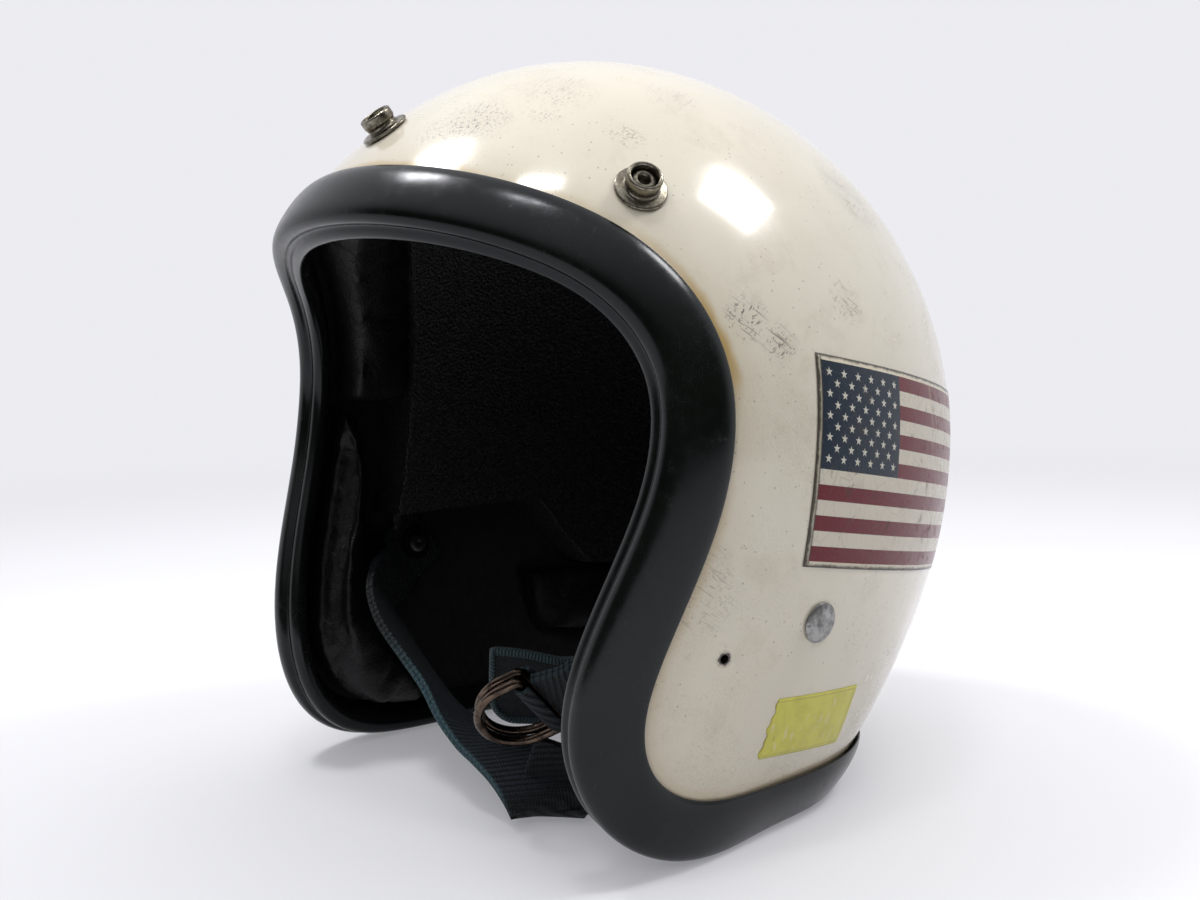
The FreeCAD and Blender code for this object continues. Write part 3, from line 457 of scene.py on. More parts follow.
def shell_paint():
    """Aged ivory gel coat: stained along the rubber, scuffed, scratched, crazed and speckled."""
    p = Paint("aged_gelcoat", Roughness=0.2, IOR=1.5, Coat_Weight=0.5, Coat_Roughness=0.09)
    place = p.place()
    height = p.split(place)[2]
    broad = p.noise(place, 9, 4)
    dirt = p.noise(place, 45, 6, 0.7)
    base = p.mix(p.fade(broad, 0.35, 0.7), (0.77, 0.72, 0.595), (0.71, 0.655, 0.53))
    base = p.mix(p.mul(p.fade(dirt, 0.50, 0.74), 0.40), base, (0.50, 0.44, 0.33))
    near = p.attribute("edge_distance")
    wander = p.add(near, p.mul(p.sub(p.noise(place, 60, 4), 0.5), 5))
    halo = p.fade(wander, 16, 32, 1, 0)
    line = p.mul(p.fade(wander, 17.4, 21.2, 1, 0), p.fade(height, 0.05, 0.17, 0.25, 1))
    patchy = p.fade(p.noise(place, 18, 3), 0.32, 0.62, 0.12, 1.0)
    base = p.mix(p.mul(halo, 0.26), base, (0.50, 0.42, 0.27))
    base = p.mix(p.mul(p.mul(line, patchy), 0.85), base, (0.47, 0.30, 0.075))
    # crazing, mostly low on the sides where the coat is dirtiest
    drift = p.node("TexNoise", {"Vector": place, "Scale": 90.0}).outputs[1]
    bent = p.node("VectorMath", {0: place, 1: drift}, operation="MULTIPLY_ADD").outputs[0]
    craze = p.cells(bent, 260, "DISTANCE_TO_EDGE")
    low = p.fade(height, 0.08, 0.26, 1, 0.35)
    crazed = p.mul(p.mul(p.fade(craze, 0.0, 0.045, 1, 0),
                         p.fade(p.noise(place, 26, 3), 0.42, 0.6)), low)
    base = p.mix(p.mul(crazed, 0.45), base, (0.38, 0.31, 0.21))
    # scuffs: drawn strokes gathered in a few spots, and a thin scatter of them elsewhere
    spots = None
    for centre, radius, strength in SCUFFS:
        spot = p.fade(p.distance(place, centre), radius * 0.35, radius * 1.5, strength, 0)
        spots = spot if spots is None else p.either(spots, spot)
    drawn = p.either(strokes(p, place, (0.7, 0.1, 0.3), 0.61),
                     strokes(p, place, (-0.5, 0.2, -0.4), 0.62))
    scatter = p.fade(p.noise(place, 20, 3, 0.6), 0.60, 0.72)
    scuff = p.mul(drawn, p.either(spots, p.mul(scatter, 0.7)))
    fleck = p.mul(p.fade(p.cells(place, 330), 0.06, 0.15, 1, 0),
                  p.fade(p.noise(place, 30, 2), 0.42, 0.56))
    base = p.mix(p.mul(spots, 0.10), base, (0.40, 0.36, 0.29))
    base = p.mix(p.mul(scuff, 0.85), base, (0.14, 0.125, 0.105))
    base = p.mix(p.mul(fleck, 0.5), base, (0.17, 0.14, 0.10))
    fine = p.cells(p.stretch(place, (60, 1500, 400), (0.2, 0.5, 1.1)), 1.0, "DISTANCE_TO_EDGE")
    scratch = p.mul(p.fade(fine, 0.0, 0.02, 1, 0), p.fade(p.noise(place, 14, 2), 0.48, 0.60))
    base = p.mix(p.mul(scratch, 0.25), base, (0.36, 0.32, 0.25))
    # chipped and browned rim of the small hole
    hole = OUTER.side_seat(*PEAK_HOLE)[0]
    gap = p.add(p.distance(place, metres(hole).tolist()),
                p.mul(p.sub(p.noise(place, 900, 3), 0.5), 0.0017))
    base = p.mix(p.fade(gap, 0.0024, 0.0034, 0.5, 0), base, (0.40, 0.34, 0.25))
    base = p.mix(p.fade(gap, 0.0019, 0.0024, 1, 0), base, (0.045, 0.028, 0.016))
    rough = p.add(0.15, p.mul(p.add(p.fade(dirt, 0.4, 0.8), p.add(scuff, scratch)), 0.18))
    orange = p.noise(place, 260, 2)
    height = p.sub(p.mul(orange, 0.25), p.add(p.mul(scuff, 0.6), p.mul(scratch, 0.4)))
    return p.set(Base_Color=base, Roughness=rough, Normal=p.bump(height, 0.0002, 0.25)).material


def shell_inside_paint():
    """Laminate with its fibre mat showing through a coat of dark paint."""
    p = Paint("painted_laminate", Roughness=0.6)
    place = p.place()
    mat = p.noise(p.stretch(place, (1, 1, 0.4)), 420, 5, 0.7)
    colour = p.mix(p.fade(mat, 0.35, 0.65), (0.003, 0.003, 0.003), (0.010, 0.010, 0.009))
    return p.set(Base_Color=colour, Normal=p.bump(mat, 0.0006, 0.6)).material


def rubber_paint():
    """Black rubber, satin from handling, with dust in its pores and fine drawn scratches."""
    p = Paint("trim_rubber", Specular_IOR_Level=0.30, Specular_Tint=(0.9, 0.93, 1.0))
    place = p.place()
    soft = p.noise(place, 35, 4)
    dust = p.noise(place, 260, 5, 0.7)
    colour = p.mix(p.fade(soft, 0.3, 0.7), (0.0035, 0.0045, 0.0035), (0.006, 0.0075, 0.006))
    colour = p.mix(p.mul(p.fade(dust, 0.62, 0.75), 0.35), colour, (0.05, 0.05, 0.045))
    lines = p.cells(p.stretch(place, (900, 160, 300), (0.7, 0.2, 0.4)), 1.0, "DISTANCE_TO_EDGE")
    wear = p.mul(p.fade(lines, 0.0, 0.03, 1, 0), p.fade(soft, 0.5, 0.65))
    rough = p.add(p.add(0.19, p.mul(p.fade(dust, 0.4, 0.7), 0.08)), p.mul(wear, 0.15))
    height = p.sub(p.add(p.mul(soft, 0.8), p.mul(dust, 0.10)), p.mul(wear, 0.05))
    return p.set(Base_Color=colour, Roughness=rough, Normal=p.bump(height, 0.0007, 0.15)).material


def metal_paint(name, bright, dark, rough, stain, pits=500):
    """Plated or cast metal with tarnish in patches and small pits."""
    p = Paint(name, Metallic=1.0)
    place = p.place()
    patch = p.noise(place, 240, 5, 0.65)
    grain = p.noise(place, pits, 4, 0.7)
    colour = p.mix(p.fade(patch, 0.38, 0.62), bright, dark)
    colour = p.mix(p.mul(p.fade(grain, 0.58, 0.70), 0.7), colour, stain)
    r = p.add(rough, p.mul(p.fade(patch, 0.4, 0.7), 0.22))
    return p.set(Base_Color=colour, Roughness=r, Normal=p.bump(grain, 0.00012, 0.5)).material


def leather_paint(name, tone, scale=1.0, rough=0.40):
    """Grained vinyl or leather, paler where it has rubbed."""
    p = Paint(name, Specular_IOR_Level=0.32, Sheen_Weight=0.005)
    place = p.place()
    grain = p.cells(place, 900 / scale, "DISTANCE_TO_EDGE")
    pebble = p.fade(grain, 0.0, 0.25)
    soft = p.noise(place, 30, 4)
    crease = p.noise(place, 110, 5, 0.6, 1.2)
    rubbed = tuple(c * 2.3 + 0.001 for c in tone)
    colour = p.mix(p.mul(p.fade(soft, 0.5, 0.75), 0.5), tone, rubbed)
    colour = p.mix(p.mul(p.sub(1.0, pebble), 0.35), colour, tuple(c * 0.45 for c in tone))
    height = p.add(p.mul(pebble, 0.35), p.mul(p.fade(crease, 0.35, 0.65), 0.8))
    return p.set(Base_Color=colour, Roughness=p.add(rough, p.mul(soft, 0.18)),
                 Normal=p.bump(height, 0.0005, 0.55)).material


def lining_paint():
    """Dark looped cloth, small uneven loops."""
    p = Paint("looped_lining", Roughness=0.92, Sheen_Weight=0.06, Sheen_Roughness=0.5)
    place = p.place()
    loops = p.cells(place, 620)
    tuft = p.noise(place, 260, 4, 0.7)
    height = p.add(p.fade(loops, 0.1, 0.75, 1, 0), p.mul(tuft, 0.8))
    colour = p.mix(p.fade(loops, 0.1, 0.7), (0.006, 0.006, 0.006), (0.002, 0.002, 0.002))
    colour = p.mix(p.mul(p.fade(tuft, 0.55, 0.75), 0.4), colour, (0.018, 0.018, 0.018))
    return p.set(Base_Color=colour, Normal=p.bump(height, 0.0016, 0.9)).material


def foam_paint():
    p = Paint("moulded_foam", Roughness=0.8)
    place = p.place()
    beads = p.cells(place, 330, "DISTANCE_TO_EDGE")
    colour = p.mix(p.fade(beads, 0.0, 0.12), (0.004, 0.004, 0.004), (0.008, 0.008, 0.008))
    return p.set(Base_Color=colour, Normal=p.bump(p.fade(beads, 0, 0.2), 0.0006, 0.7)).material


# near-black webbing colour: painted shade where the straps lie in shadow, and the soiled short
# strap's tone
SHADE_AND_SOIL = (0.0012, 0.0018, 0.0022)


def webbing_paint(name, shade_and_soil_share=0.0, length=None):
    """Teal-navy webbing with bold ribs and paler selvedges; u runs along it in mm, v across."""
    p = Paint(name, Roughness=0.75, Sheen_Weight=0.03, Sheen_Roughness=0.4,
              Sheen_Tint=(0.5, 0.7, 0.8))
    along, across, _ = p.uv()
    place = p.place()
    rib = p.math("SINE", p.mul(p.add(along, p.mul(across, -0.4)), 2 * math.pi / 2.4))
    yarn = p.math("SINE", p.add(p.mul(across, 2 * math.pi / 1.1), p.mul(along, 1.6)))
    height = p.add(p.mul(p.fade(rib, -0.9, 0.9), 0.8), p.mul(p.fade(yarn, -1, 1), 0.25))
    fuzz = p.noise(place, 900, 4, 0.7)
    broad = p.noise(place, 60, 3)
    colour = p.mix(p.fade(height, 0.1, 1.0), (0.001, 0.002, 0.003), (0.020, 0.031, 0.042))
    colour = p.mix(p.mul(p.fade(broad, 0.45, 0.7), 0.35), colour, (0.011, 0.020, 0.026))
    colour = p.mix(p.mul(p.fade(fuzz, 0.6, 0.8), 0.35), colour, (0.035, 0.05, 0.058))
    edge = p.fade(p.math("ABSOLUTE", across), 11.5, 12.5)
    colour = p.mix(p.mul(edge, 0.75), colour, (0.035, 0.085, 0.100))
    if length:
        # painted shade: near-black at the anchor end, where it lies in shadow against the pads, and
        # darker at the free end, in shadow under its own fold
        lit_share = p.both(p.fade(along, 45, 85, 0.04, 1),
                       p.fade(along, length - 44, length - 34, 1, 0.12))
        colour = p.mix(lit_share, SHADE_AND_SOIL, colour)
    elif shade_and_soil_share:
        # mixed towards near-black by the given share: painted shade on the anchor webbing, a soiled
        # tone on the short strap
        colour = p.mix(shade_and_soil_share, colour, SHADE_AND_SOIL)
    return p.set(Base_Color=colour, Normal=p.bump(height, 0.0009, 1.0)).material


def flap_paint():
    p = Paint("flap_cloth", Roughness=0.85, Sheen_Weight=0.1)
    along, across, _ = p.uv()
    weave = p.mul(p.math("SINE", p.mul(along, 7.0)), p.math("SINE", p.mul(across, 7.0)))
    fuzz = p.noise(p.place(), 700, 4, 0.7)
    colour = p.mix(p.fade(weave, -0.8, 0.8), (0.0015, 0.0025, 0.003), (0.005, 0.008, 0.010))
    colour = p.mix(p.mul(p.fade(fuzz, 0.55, 0.75), 0.3), colour, (0.014, 0.020, 0.023))
    return p.set(Base_Color=colour, Normal=p.bump(p.add(weave, fuzz), 0.0003, 0.7)).material


def binding_paint():
    p = Paint("flap_binding", Roughness=0.7, Sheen_Weight=0.1)
    along, across, _ = p.uv()
    twill = p.math("SINE", p.add(p.mul(along, 5.2), p.mul(across, 3.0)))
    colour = p.mix(p.fade(twill, -0.9, 0.9), (0.005, 0.013, 0.016), (0.022, 0.050, 0.056))
    return p.set(Base_Color=colour, Normal=p.bump(twill, 0.0003, 0.7)).material


def star(p, x, y, size):
    """1 inside a five-pointed star of that size about the origin, one tip up."""
    radius = p.math("SQRT", p.add(p.mul(x, x), p.mul(y, y)))
    angle = p.math("ARCTAN2", x, y)
    sector = 2 * math.pi / 5
    turn = p.math("FLOORED_MODULO", p.add(angle, sector / 2), sector)
    off = p.math("ABSOLUTE", p.sub(turn, sector / 2))
    inner, half = size * 0.40, math.pi / 5
    reach = p.math("DIVIDE", size * inner * math.sin(half),
                   p.add(p.mul(p.math("SINE", off), size),
                         p.mul(p.math("SINE", p.sub(half, off)), inner)))
    return p.less(radius, reach)


def flag_paint():
    """Stripes, canton and stars in the decal's own u, v, on cream vinyl, cracked and dirty."""
    p = Paint("flag_decal", Roughness=0.34, Coat_Weight=0.08, Coat_Roughness=0.15,
              Specular_IOR_Level=0.25)
    u, v, _ = p.uv()
    place = p.place()
    margin_u, margin_v = 0.018, 0.028
    x = p.math("DIVIDE", p.sub(u, margin_u), 1 - 2 * margin_u)
    y = p.math("DIVIDE", p.sub(v, margin_v), 1 - 2 * margin_v)
    stripe = p.math("FLOORED_MODULO", p.math("FLOOR", p.mul(p.sub(1.0, y), 13.0)), 2.0)
    canton_u, canton_v = 0.40, 7 / 13
    step_u, step_v = canton_u / 12, canton_v / 10
    colour = p.mix(stripe, (0.135, 0.007, 0.014), (0.66, 0.61, 0.51))
    down = p.sub(1.0, y)
    in_canton = p.both(p.less(x, canton_u), p.less(down, canton_v))
    stars = None
    for columns, rows, shift in ((6, 5, 0.0), (5, 4, 1.0)):
        cell_u = p.math("DIVIDE", p.sub(x, shift * step_u), 2 * step_u)
        cell_v = p.math("DIVIDE", p.sub(down, shift * step_v), 2 * step_v)
        inside = p.both(p.both(p.less(0.0, cell_u), p.less(cell_u, float(columns))),
                        p.both(p.less(0.0, cell_v), p.less(cell_v, float(rows))))
        local_x = p.mul(p.sub(p.math("FRACT", cell_u), 0.5), 2 * step_u * FLAG_RATIO)
        local_y = p.mul(p.sub(0.5, p.math("FRACT", cell_v)), 2 * step_v)
        mark = p.both(star(p, local_x, local_y, 0.0245), inside)
        stars = mark if stars is None else p.either(stars, mark)
    canton = p.mix(stars, (0.007, 0.018, 0.034), (0.62, 0.60, 0.52))
    colour = p.mix(in_canton, colour, canton)
    frame_u = p.both(p.less(0.0, x), p.less(x, 1.0))
    frame_v = p.both(p.less(0.0, y), p.less(y, 1.0))
    colour = p.mix(p.both(frame_u, frame_v), (0.70, 0.64, 0.50), colour)
    # wear: vertical streaks towards the back, cracks, and grime along the edges
    streak = p.noise(p.stretch(place, (60, 420, 25)), 1.0, 4, 0.6)
    torn = p.mul(p.fade(streak, 0.57, 0.63), p.mul(p.fade(u, 0.45, 0.9), p.fade(v, 0.45, 0.95)))
    colour = p.mix(p.mul(torn, 0.8), colour, (0.62, 0.55, 0.42))
    cracks = p.cells(p.stretch(place, (1, 1, 0.6)), 160, "DISTANCE_TO_EDGE")
    colour = p.mix(p.mul(p.fade(cracks, 0.0, 0.03, 1, 0), 0.18), colour, (0.10, 0.08, 0.06))
    grime = p.noise(place, 190, 5, 0.7)
    rim = p.both(p.both(u, p.sub(1.0, u)), p.both(v, p.sub(1.0, v)))
    dirt = p.mul(p.fade(p.add(rim, p.mul(p.sub(grime, 0.5), 0.03)), 0.006, 0.020, 1, 0), 0.92)
    seam = p.fade(p.math("ABSOLUTE", p.add(x, p.mul(p.sub(grime, 0.5), 0.01))), 0.002, 0.006, 1, 0)
    dirt = p.either(dirt, p.mul(seam, 0.7))
    colour = p.mix(dirt, colour, (0.035, 0.028, 0.022))
    colour = p.mix(p.mul(p.fade(grime, 0.56, 0.72), 0.5), colour, (0.07, 0.055, 0.04))
    rough = p.add(0.24, p.mul(p.either(torn, p.fade(grime, 0.5, 0.8)), 0.35))
    return p.set(Base_Color=colour, Roughness=rough, Normal=p.bump(grime, 0.00015, 0.4)).material


def plain_decal_paint():
    """Blank yellow vinyl with a thin printed border, its front end torn and lifted."""
    p = Paint("plain_decal", Roughness=0.35, Coat_Weight=0.2)
    u, v, _ = p.uv()
    place = p.place()
    mottle = p.noise(place, 120, 5, 0.6)
    colour = p.mix(p.fade(mottle, 0.35, 0.7), (0.66, 0.62, 0.07), (0.56, 0.52, 0.05))
    rim = p.both(p.mul(p.both(u, p.sub(1.0, u)), 1.9), p.both(v, p.sub(1.0, v)))
    border = p.both(p.less(0.035, rim), p.less(rim, 0.06))
    colour = p.mix(p.mul(border, 0.35), colour, (0.30, 0.24, 0.04))
    scratch = p.noise(p.stretch(place, (40, 500, 160), (0, 0.3, 0.7)), 1.0, 4, 0.6)
    colour = p.mix(p.mul(p.fade(scratch, 0.60, 0.66), 0.5), colour, (0.70, 0.64, 0.42))
    dirt = p.noise(place, 300, 5, 0.7)
    colour = p.mix(p.mul(p.fade(dirt, 0.62, 0.75), 0.5), colour, (0.12, 0.09, 0.04))
    return p.set(Base_Color=colour, Roughness=p.add(0.3, p.mul(dirt, 0.2)),
                 Normal=p.bump(dirt, 0.0001, 0.4)).material


# ---- Shell and rubber trim ----

def dome_skin(name, outside, inside, around, rings):
    """Closed skin between two insets of the shell; its inner faces take the second slot."""
    u, v = np.meshgrid(COLUMNS * np.arange(around) / around, np.linspace(0, ROWS, rings + 1)[:-1])
    layers, faces = [], []
    count = around * rings + 1
    for k, inset in enumerate((outside, inside)):
        dome = Dome(inset)
        rows = v[:, 0]
        if k:
            # the inner rings keep the share of the height that the outer surface's rings have
            height = OUTER.at(np.zeros(rings), rows)[:, 2]
            share = (height - height[0]) / (height[-1] - height[0])
            low, high = dome.heights[0], dome.at(0.0, v[-1, 0])[2]
            rows = dome.row(share * (high - low) + low)
        points = dome.at(u, np.broadcast_to(rows[:, None], u.shape)).reshape(-1, 3)
        layers += [points, dome.at(np.zeros(1), np.full(1, float(ROWS)))]
        start = k * count
        grid = grid_faces(rings, around, close_columns=True, start=start).tolist()
        last = start + (rings - 1) * around
        grid += [[last + i, last + (i + 1) % around, start + count - 1] for i in range(around)]
        faces += [f[::-1] for f in grid] if k else grid
    for i in range(around):
        j = (i + 1) % around
        faces.append([j, i, count + i, count + j])
    skin = mesh_object(name, np.concatenate(layers), faces)
    inner = np.zeros(len(faces), np.int32)
    inner[around * rings:] = 1
    skin.data.polygons.foreach_set("material_index", inner)
    return outward(skin)


def outline_knife(outline, reach=170.0, lead=60.0, far=260.0, floor=-80.0):
    """Block that holds all that lies below and in front of a side-view outline, brow to nape."""
    first, last = outline[0] - outline[1], outline[-1] - outline[-2]
    path = [outline[0] + unit(first) * lead, *outline, outline[-1] + unit(last) * lead]
    path += [(far, path[-1][1]), (far, floor), (-far, floor), (-far, path[0][1])]
    path = np.array(path)
    n = len(path)
    sides = [np.column_stack([np.full(n, x), path]) for x in (-reach, reach)]
    faces = [[i, (i + 1) % n, n + (i + 1) % n, n + i] for i in range(n)]
    faces += [list(range(n))[::-1], list(range(n, 2 * n))]
    return outward(mesh_object("knife", np.concatenate(sides), faces))


def carve(piece, *knives, solver="EXACT"):
    """Cuts blocks out of a piece; the cut faces take its second slot."""
    for knife in knives:
        for material in piece.data.materials:
            knife.data.materials.append(material)
        knife.data.polygons.foreach_set("material_index", [1] * len(knife.data.polygons))
        cut = piece.modifiers.new("cut", "BOOLEAN")
        cut.operation, cut.object, cut.solver = "DIFFERENCE", knife, solver
    bake(piece)
    for knife in knives:
        bpy.data.objects.remove(knife)
    return sharpen(piece)


def sharpen(piece, degrees=35.0):
    """Keeps a piece's hard corners crisp under smooth shading."""
    bm = bmesh.new()
    bm.from_mesh(piece.data)
    for edge in bm.edges:
        edge.smooth = edge.calc_face_angle(0.0) < math.radians(degrees)
    bm.to_mesh(piece.data)
    bm.free()
    return piece


def make_shell():
    shell = dome_skin("shell_skin", 0.0, WALL, 300, 200)
    shell.data.materials.append(shell_paint())
    shell.data.materials.append(shell_inside_paint())
    carve(shell, outline_knife(side_curve(160)), drilled(*OUTER.side_seat(*PEAK_HOLE)))
    # distance from the cut edge, for the stain under the rubber's lip
    rim = round_edge(240)[0]
    points = coordinates(shell) * 1000 - SHIFT
    distance = np.empty(len(points))
    for i in range(0, len(points), 2000):
        block = points[i:i + 2000]
        distance[i:i + 2000] = np.sqrt(((block[:, None] - rim[None]) ** 2).sum(-1).min(1))
    attribute = shell.data.attributes.new("edge_distance", "FLOAT", "POINT")
    attribute.data.foreach_set("value", np.asarray(distance, np.float32))
    return shell


def drilled(point, normal, radius=1.5, reach=9.0):
    """Round bar through the wall, to cut a hole with."""
    profile = [(0.0001, -reach), (radius, -reach), (radius, reach), (0.0001, reach)]
    return lathe("bore", profile, point, normal, 40)


def bake(piece):
    """Applies a piece's modifiers."""
    depsgraph = bpy.context.evaluated_depsgraph_get()
    data = bpy.data.meshes.new_from_object(piece.evaluated_get(depsgraph), depsgraph=depsgraph)
    piece.modifiers.clear()
    piece.data = data
    return piece


PEAK_HOLE = (-49.0, 68.6)
TRIM_LAP, TRIM_NOSE, TRIM_BULGE, TRIM_BEAD, TRIM_INNER = 16.5, 5.2, 3.4, 8.0, 8.5
TRIM_EASE, CHANNEL = 0.2, 1.8


def trim_section():
    inside, back = -WALL - TRIM_EASE, -WALL - TRIM_BEAD
    return np.array([
        (TRIM_LAP + 0.4, 0.3), (TRIM_LAP - 1.0, 1.5), (TRIM_LAP * 0.75, TRIM_BULGE * 0.82),
        (TRIM_LAP * 0.45, TRIM_BULGE), (TRIM_LAP * 0.12, TRIM_BULGE),
        (-TRIM_NOSE * 0.7, TRIM_BULGE * 0.8), (-TRIM_NOSE * 1.12, -0.4),
        (-TRIM_NOSE * 0.95, inside + 0.6), (-TRIM_NOSE * 0.55, inside - 1.0),
        (-TRIM_NOSE * 1.1, back * 0.62), (-TRIM_NOSE * 1.0, back * 0.98), (0.8, back * 1.02),
        (TRIM_INNER * 0.55, back * 0.72), (TRIM_INNER, inside - 2.2),
        (TRIM_INNER * 0.98, inside), (TRIM_INNER * 0.5, inside), (0.2, inside),
        (-CHANNEL, inside + 0.2), (-CHANNEL, TRIM_EASE - 0.2), (0.4, TRIM_EASE),
        (TRIM_LAP * 0.4, TRIM_EASE), (TRIM_LAP * 0.75, TRIM_EASE)])


def spline_rows(poles, steps):
    """Closed cubic spline along the first axis, steps points to each span."""
    out = []
    for s in np.arange(steps) / steps:
        a, b, c, d = spline_weights(s)
        out.append(a * np.roll(poles, 1, 0) + b * poles + c * np.roll(poles, -1, 0)
                   + d * np.roll(poles, -2, 0))
    return np.stack(out, 1).reshape(-1, *poles.shape[1:])


def make_trim(stations=46, finer=8):
    """Beading swept round the cut edge, its channel along the wall's slanting cut."""
    points, normals = round_edge(stations)
    side = np.roll(points, -1, 0) - np.roll(points, 1, 0)
    runs = np.gradient(OUTER.at(*edge_uv(stations * finer)), axis=0)[::finer]
    runs = np.concatenate([runs, runs[-2:0:-1]])
    cut = unit(np.stack([np.zeros(len(runs)), -runs[:, 2], runs[:, 1]], 1))
    inward = unit(np.cross(normals, side))
    through = np.cross(cut, side)
    overhang = np.minimum((through * inward).sum(1) / -(through * normals).sum(1), 0)
    b, a = trim_section().T
    depth = np.clip(-a, 0, WALL)
    sections = (points[:, None] + inward[:, None] * (b + overhang[:, None] * depth)[..., None]
                + normals[:, None] * a[:, None])
    surface = spline_rows(closed_poles(sections), 5)
    surface = spline_rows(surface.transpose(1, 0, 2), 6).transpose(1, 0, 2)
    faces = grid_faces(*surface.shape[:2], True, True)
    return outward(mesh_object("edge_beading", surface.reshape(-1, 3), faces))


# ---- Snaps and rivets ----

SNAPS = (("left", 85.5, 211.0), ("centre", -6.0, 237.6), ("right", -85.5, 211.0))
SNAP_LIFT = 0.3
RIVET = (-12.1, 75.0)
RIVET_TAIL = -(WALL + 1.2 + 1.7 + 0.2 + 1.2 + 0.15)


def snap_seats():
    """Point and normal of each visor snap, from its x and height."""
    seats = {}
    for name, x, height in SNAPS:
        v = float(OUTER.row(height))
        low, high = -COLUMNS / 4, COLUMNS / 4
        for _ in range(40):
            middle = (low + high) / 2
            low, high = (low, middle) if OUTER.at(middle, v)[0] > x else (middle, high)
        seats[name] = OUTER.at(low, v), OUTER.normal(low, v)
    return seats


def make_snaps(metal, dark_metal):
    stud = [(2.62, 0), (8.5, 0), (8.5, 0.54), (8.0, 0.9), (6.2, 0.95), (5.45, 1.4), (5.2, 2.0),
            (5.2, 2.5), (5.5, 3.0), (5.7, 3.4), (5.7, 5.9), (5.5, 6.3), (5.1, 6.5), (4.75, 6.45),
            (4.4, 6.1), (4.3, 5.7), (4.2, 2.6), (2.62, 2.6)]
    floor = 2.9
    eyelet = [(1.7, -6.2), (3.7, -6.2), (3.7, -5.5), (2.5, -5.5), (2.5, floor + 0.05),
              (3.9, floor + 0.05), (3.9, floor + 1.3), (3.6, floor + 1.9), (2.9, floor + 2.25),
              (2.2, floor + 2.1), (1.7, floor + 1.4)]
    for name, (point, normal) in snap_seats().items():
        piece = lathe("snap_barrel_" + name, eased(stud), point + normal * SNAP_LIFT, normal)
        finish_piece(piece, "helmet", metal, "snap_stud_" + name, slot="snap_metal")
        piece = lathe("snap_core_" + name, eased(eyelet), point, normal, 48)
        finish_piece(piece, "helmet", dark_metal, "snap_eyelet_" + name, slot="snap_metal")


def make_rivets(metal):
    tail = RIVET_TAIL
    profile = [(0.001, tail - 1.4), (3.7, tail - 1.4), (4.2, tail - 0.4), (4.2, tail), (2.4, tail),
               (2.4, 0.2), (6.45, 0.2), (6.75, 0.6), (6.7, 0.75), (5.8, 1.3), (4.05, 1.8),
               (2.0, 2.04), (0.001, 2.1)]
    for name, side in (("left", 1), ("right", -1)):
        piece = lathe("rivet_" + name, eased(profile, 0.06), *OUTER.side_seat(*RIVET, side))
        finish_piece(piece, "helmet", metal, "strap_rivet_" + name, slot="rivet_metal")


# ---- Decals ----
FLAG_FRONT, FLAG_TOP, FLAG_BOTTOM, FLAG_LENGTH = -14.5, 160.5, 94.5, 108.0
FLAG_LEAN, FLAG_SLOPE = 0.12, 0.165
FLAG_RATIO = 1.62       # length to height, measured along the shell
DECAL_LIFT, DECAL_THICKNESS = 0.30, 0.18
PLATE = [(-29.0, 31.5), (15.5, 26.5), (17.5, 47.5), (-26.0, 51.5)]


def make_patch(name, corners, torn=0.0, rows=40, columns=70):
    """Thin patch on the left of the shell with side-view corners, u along and v up."""
    a, b, c, d = np.array(corners, float)
    u, v = np.meshgrid(np.linspace(0, 1, columns), np.linspace(0, 1, rows))
    u, v = u.ravel(), v.ravel()
    if torn:
        ragged = 0.5 + 0.5 * np.sin(v * 9.1 + 0.6) * np.cos(v * 23.0 + 1.0)
        start = torn * np.clip(ragged + np.clip(v - 0.55, 0, 1) * 0.9, 0, 1.4)
        where = start + (1 - start) * u
    else:
        where = u
    side = (((1 - where) * (1 - v))[:, None] * a + (where * (1 - v))[:, None] * b
            + (where * v)[:, None] * c + ((1 - where) * v)[:, None] * d)
    points, normals = OUTER.side_seat(side[:, 0], side[:, 1])
    patch = mesh_object(name, points + normals * DECAL_LIFT, grid_faces(rows, columns))
    give_uv(patch, np.stack([where, v], 1))
    thick = patch.modifiers.new("thick", "SOLIDIFY")
    thick.thickness, thick.offset = DECAL_THICKNESS / 1000, -1
    return bake(patch)


def make_decals():
    lean = (FLAG_TOP - FLAG_BOTTOM) * FLAG_LEAN
    drop = FLAG_LENGTH * FLAG_SLOPE
    rear = FLAG_FRONT + FLAG_LENGTH
    corners = [(FLAG_FRONT - lean, FLAG_BOTTOM), (rear - lean, FLAG_BOTTOM - drop),
               (rear, FLAG_TOP - drop), (FLAG_FRONT, FLAG_TOP)]
    flag = make_patch("flag_vinyl", corners)
    finish_piece(flag, "helmet", flag_paint(), "flag_decal", slot="flag_print")
    plate = make_patch("yellow_vinyl", PLATE, torn=0.035)
    finish_piece(plate, "helmet", plain_decal_paint(), "plain_decal", slot="yellow_print")


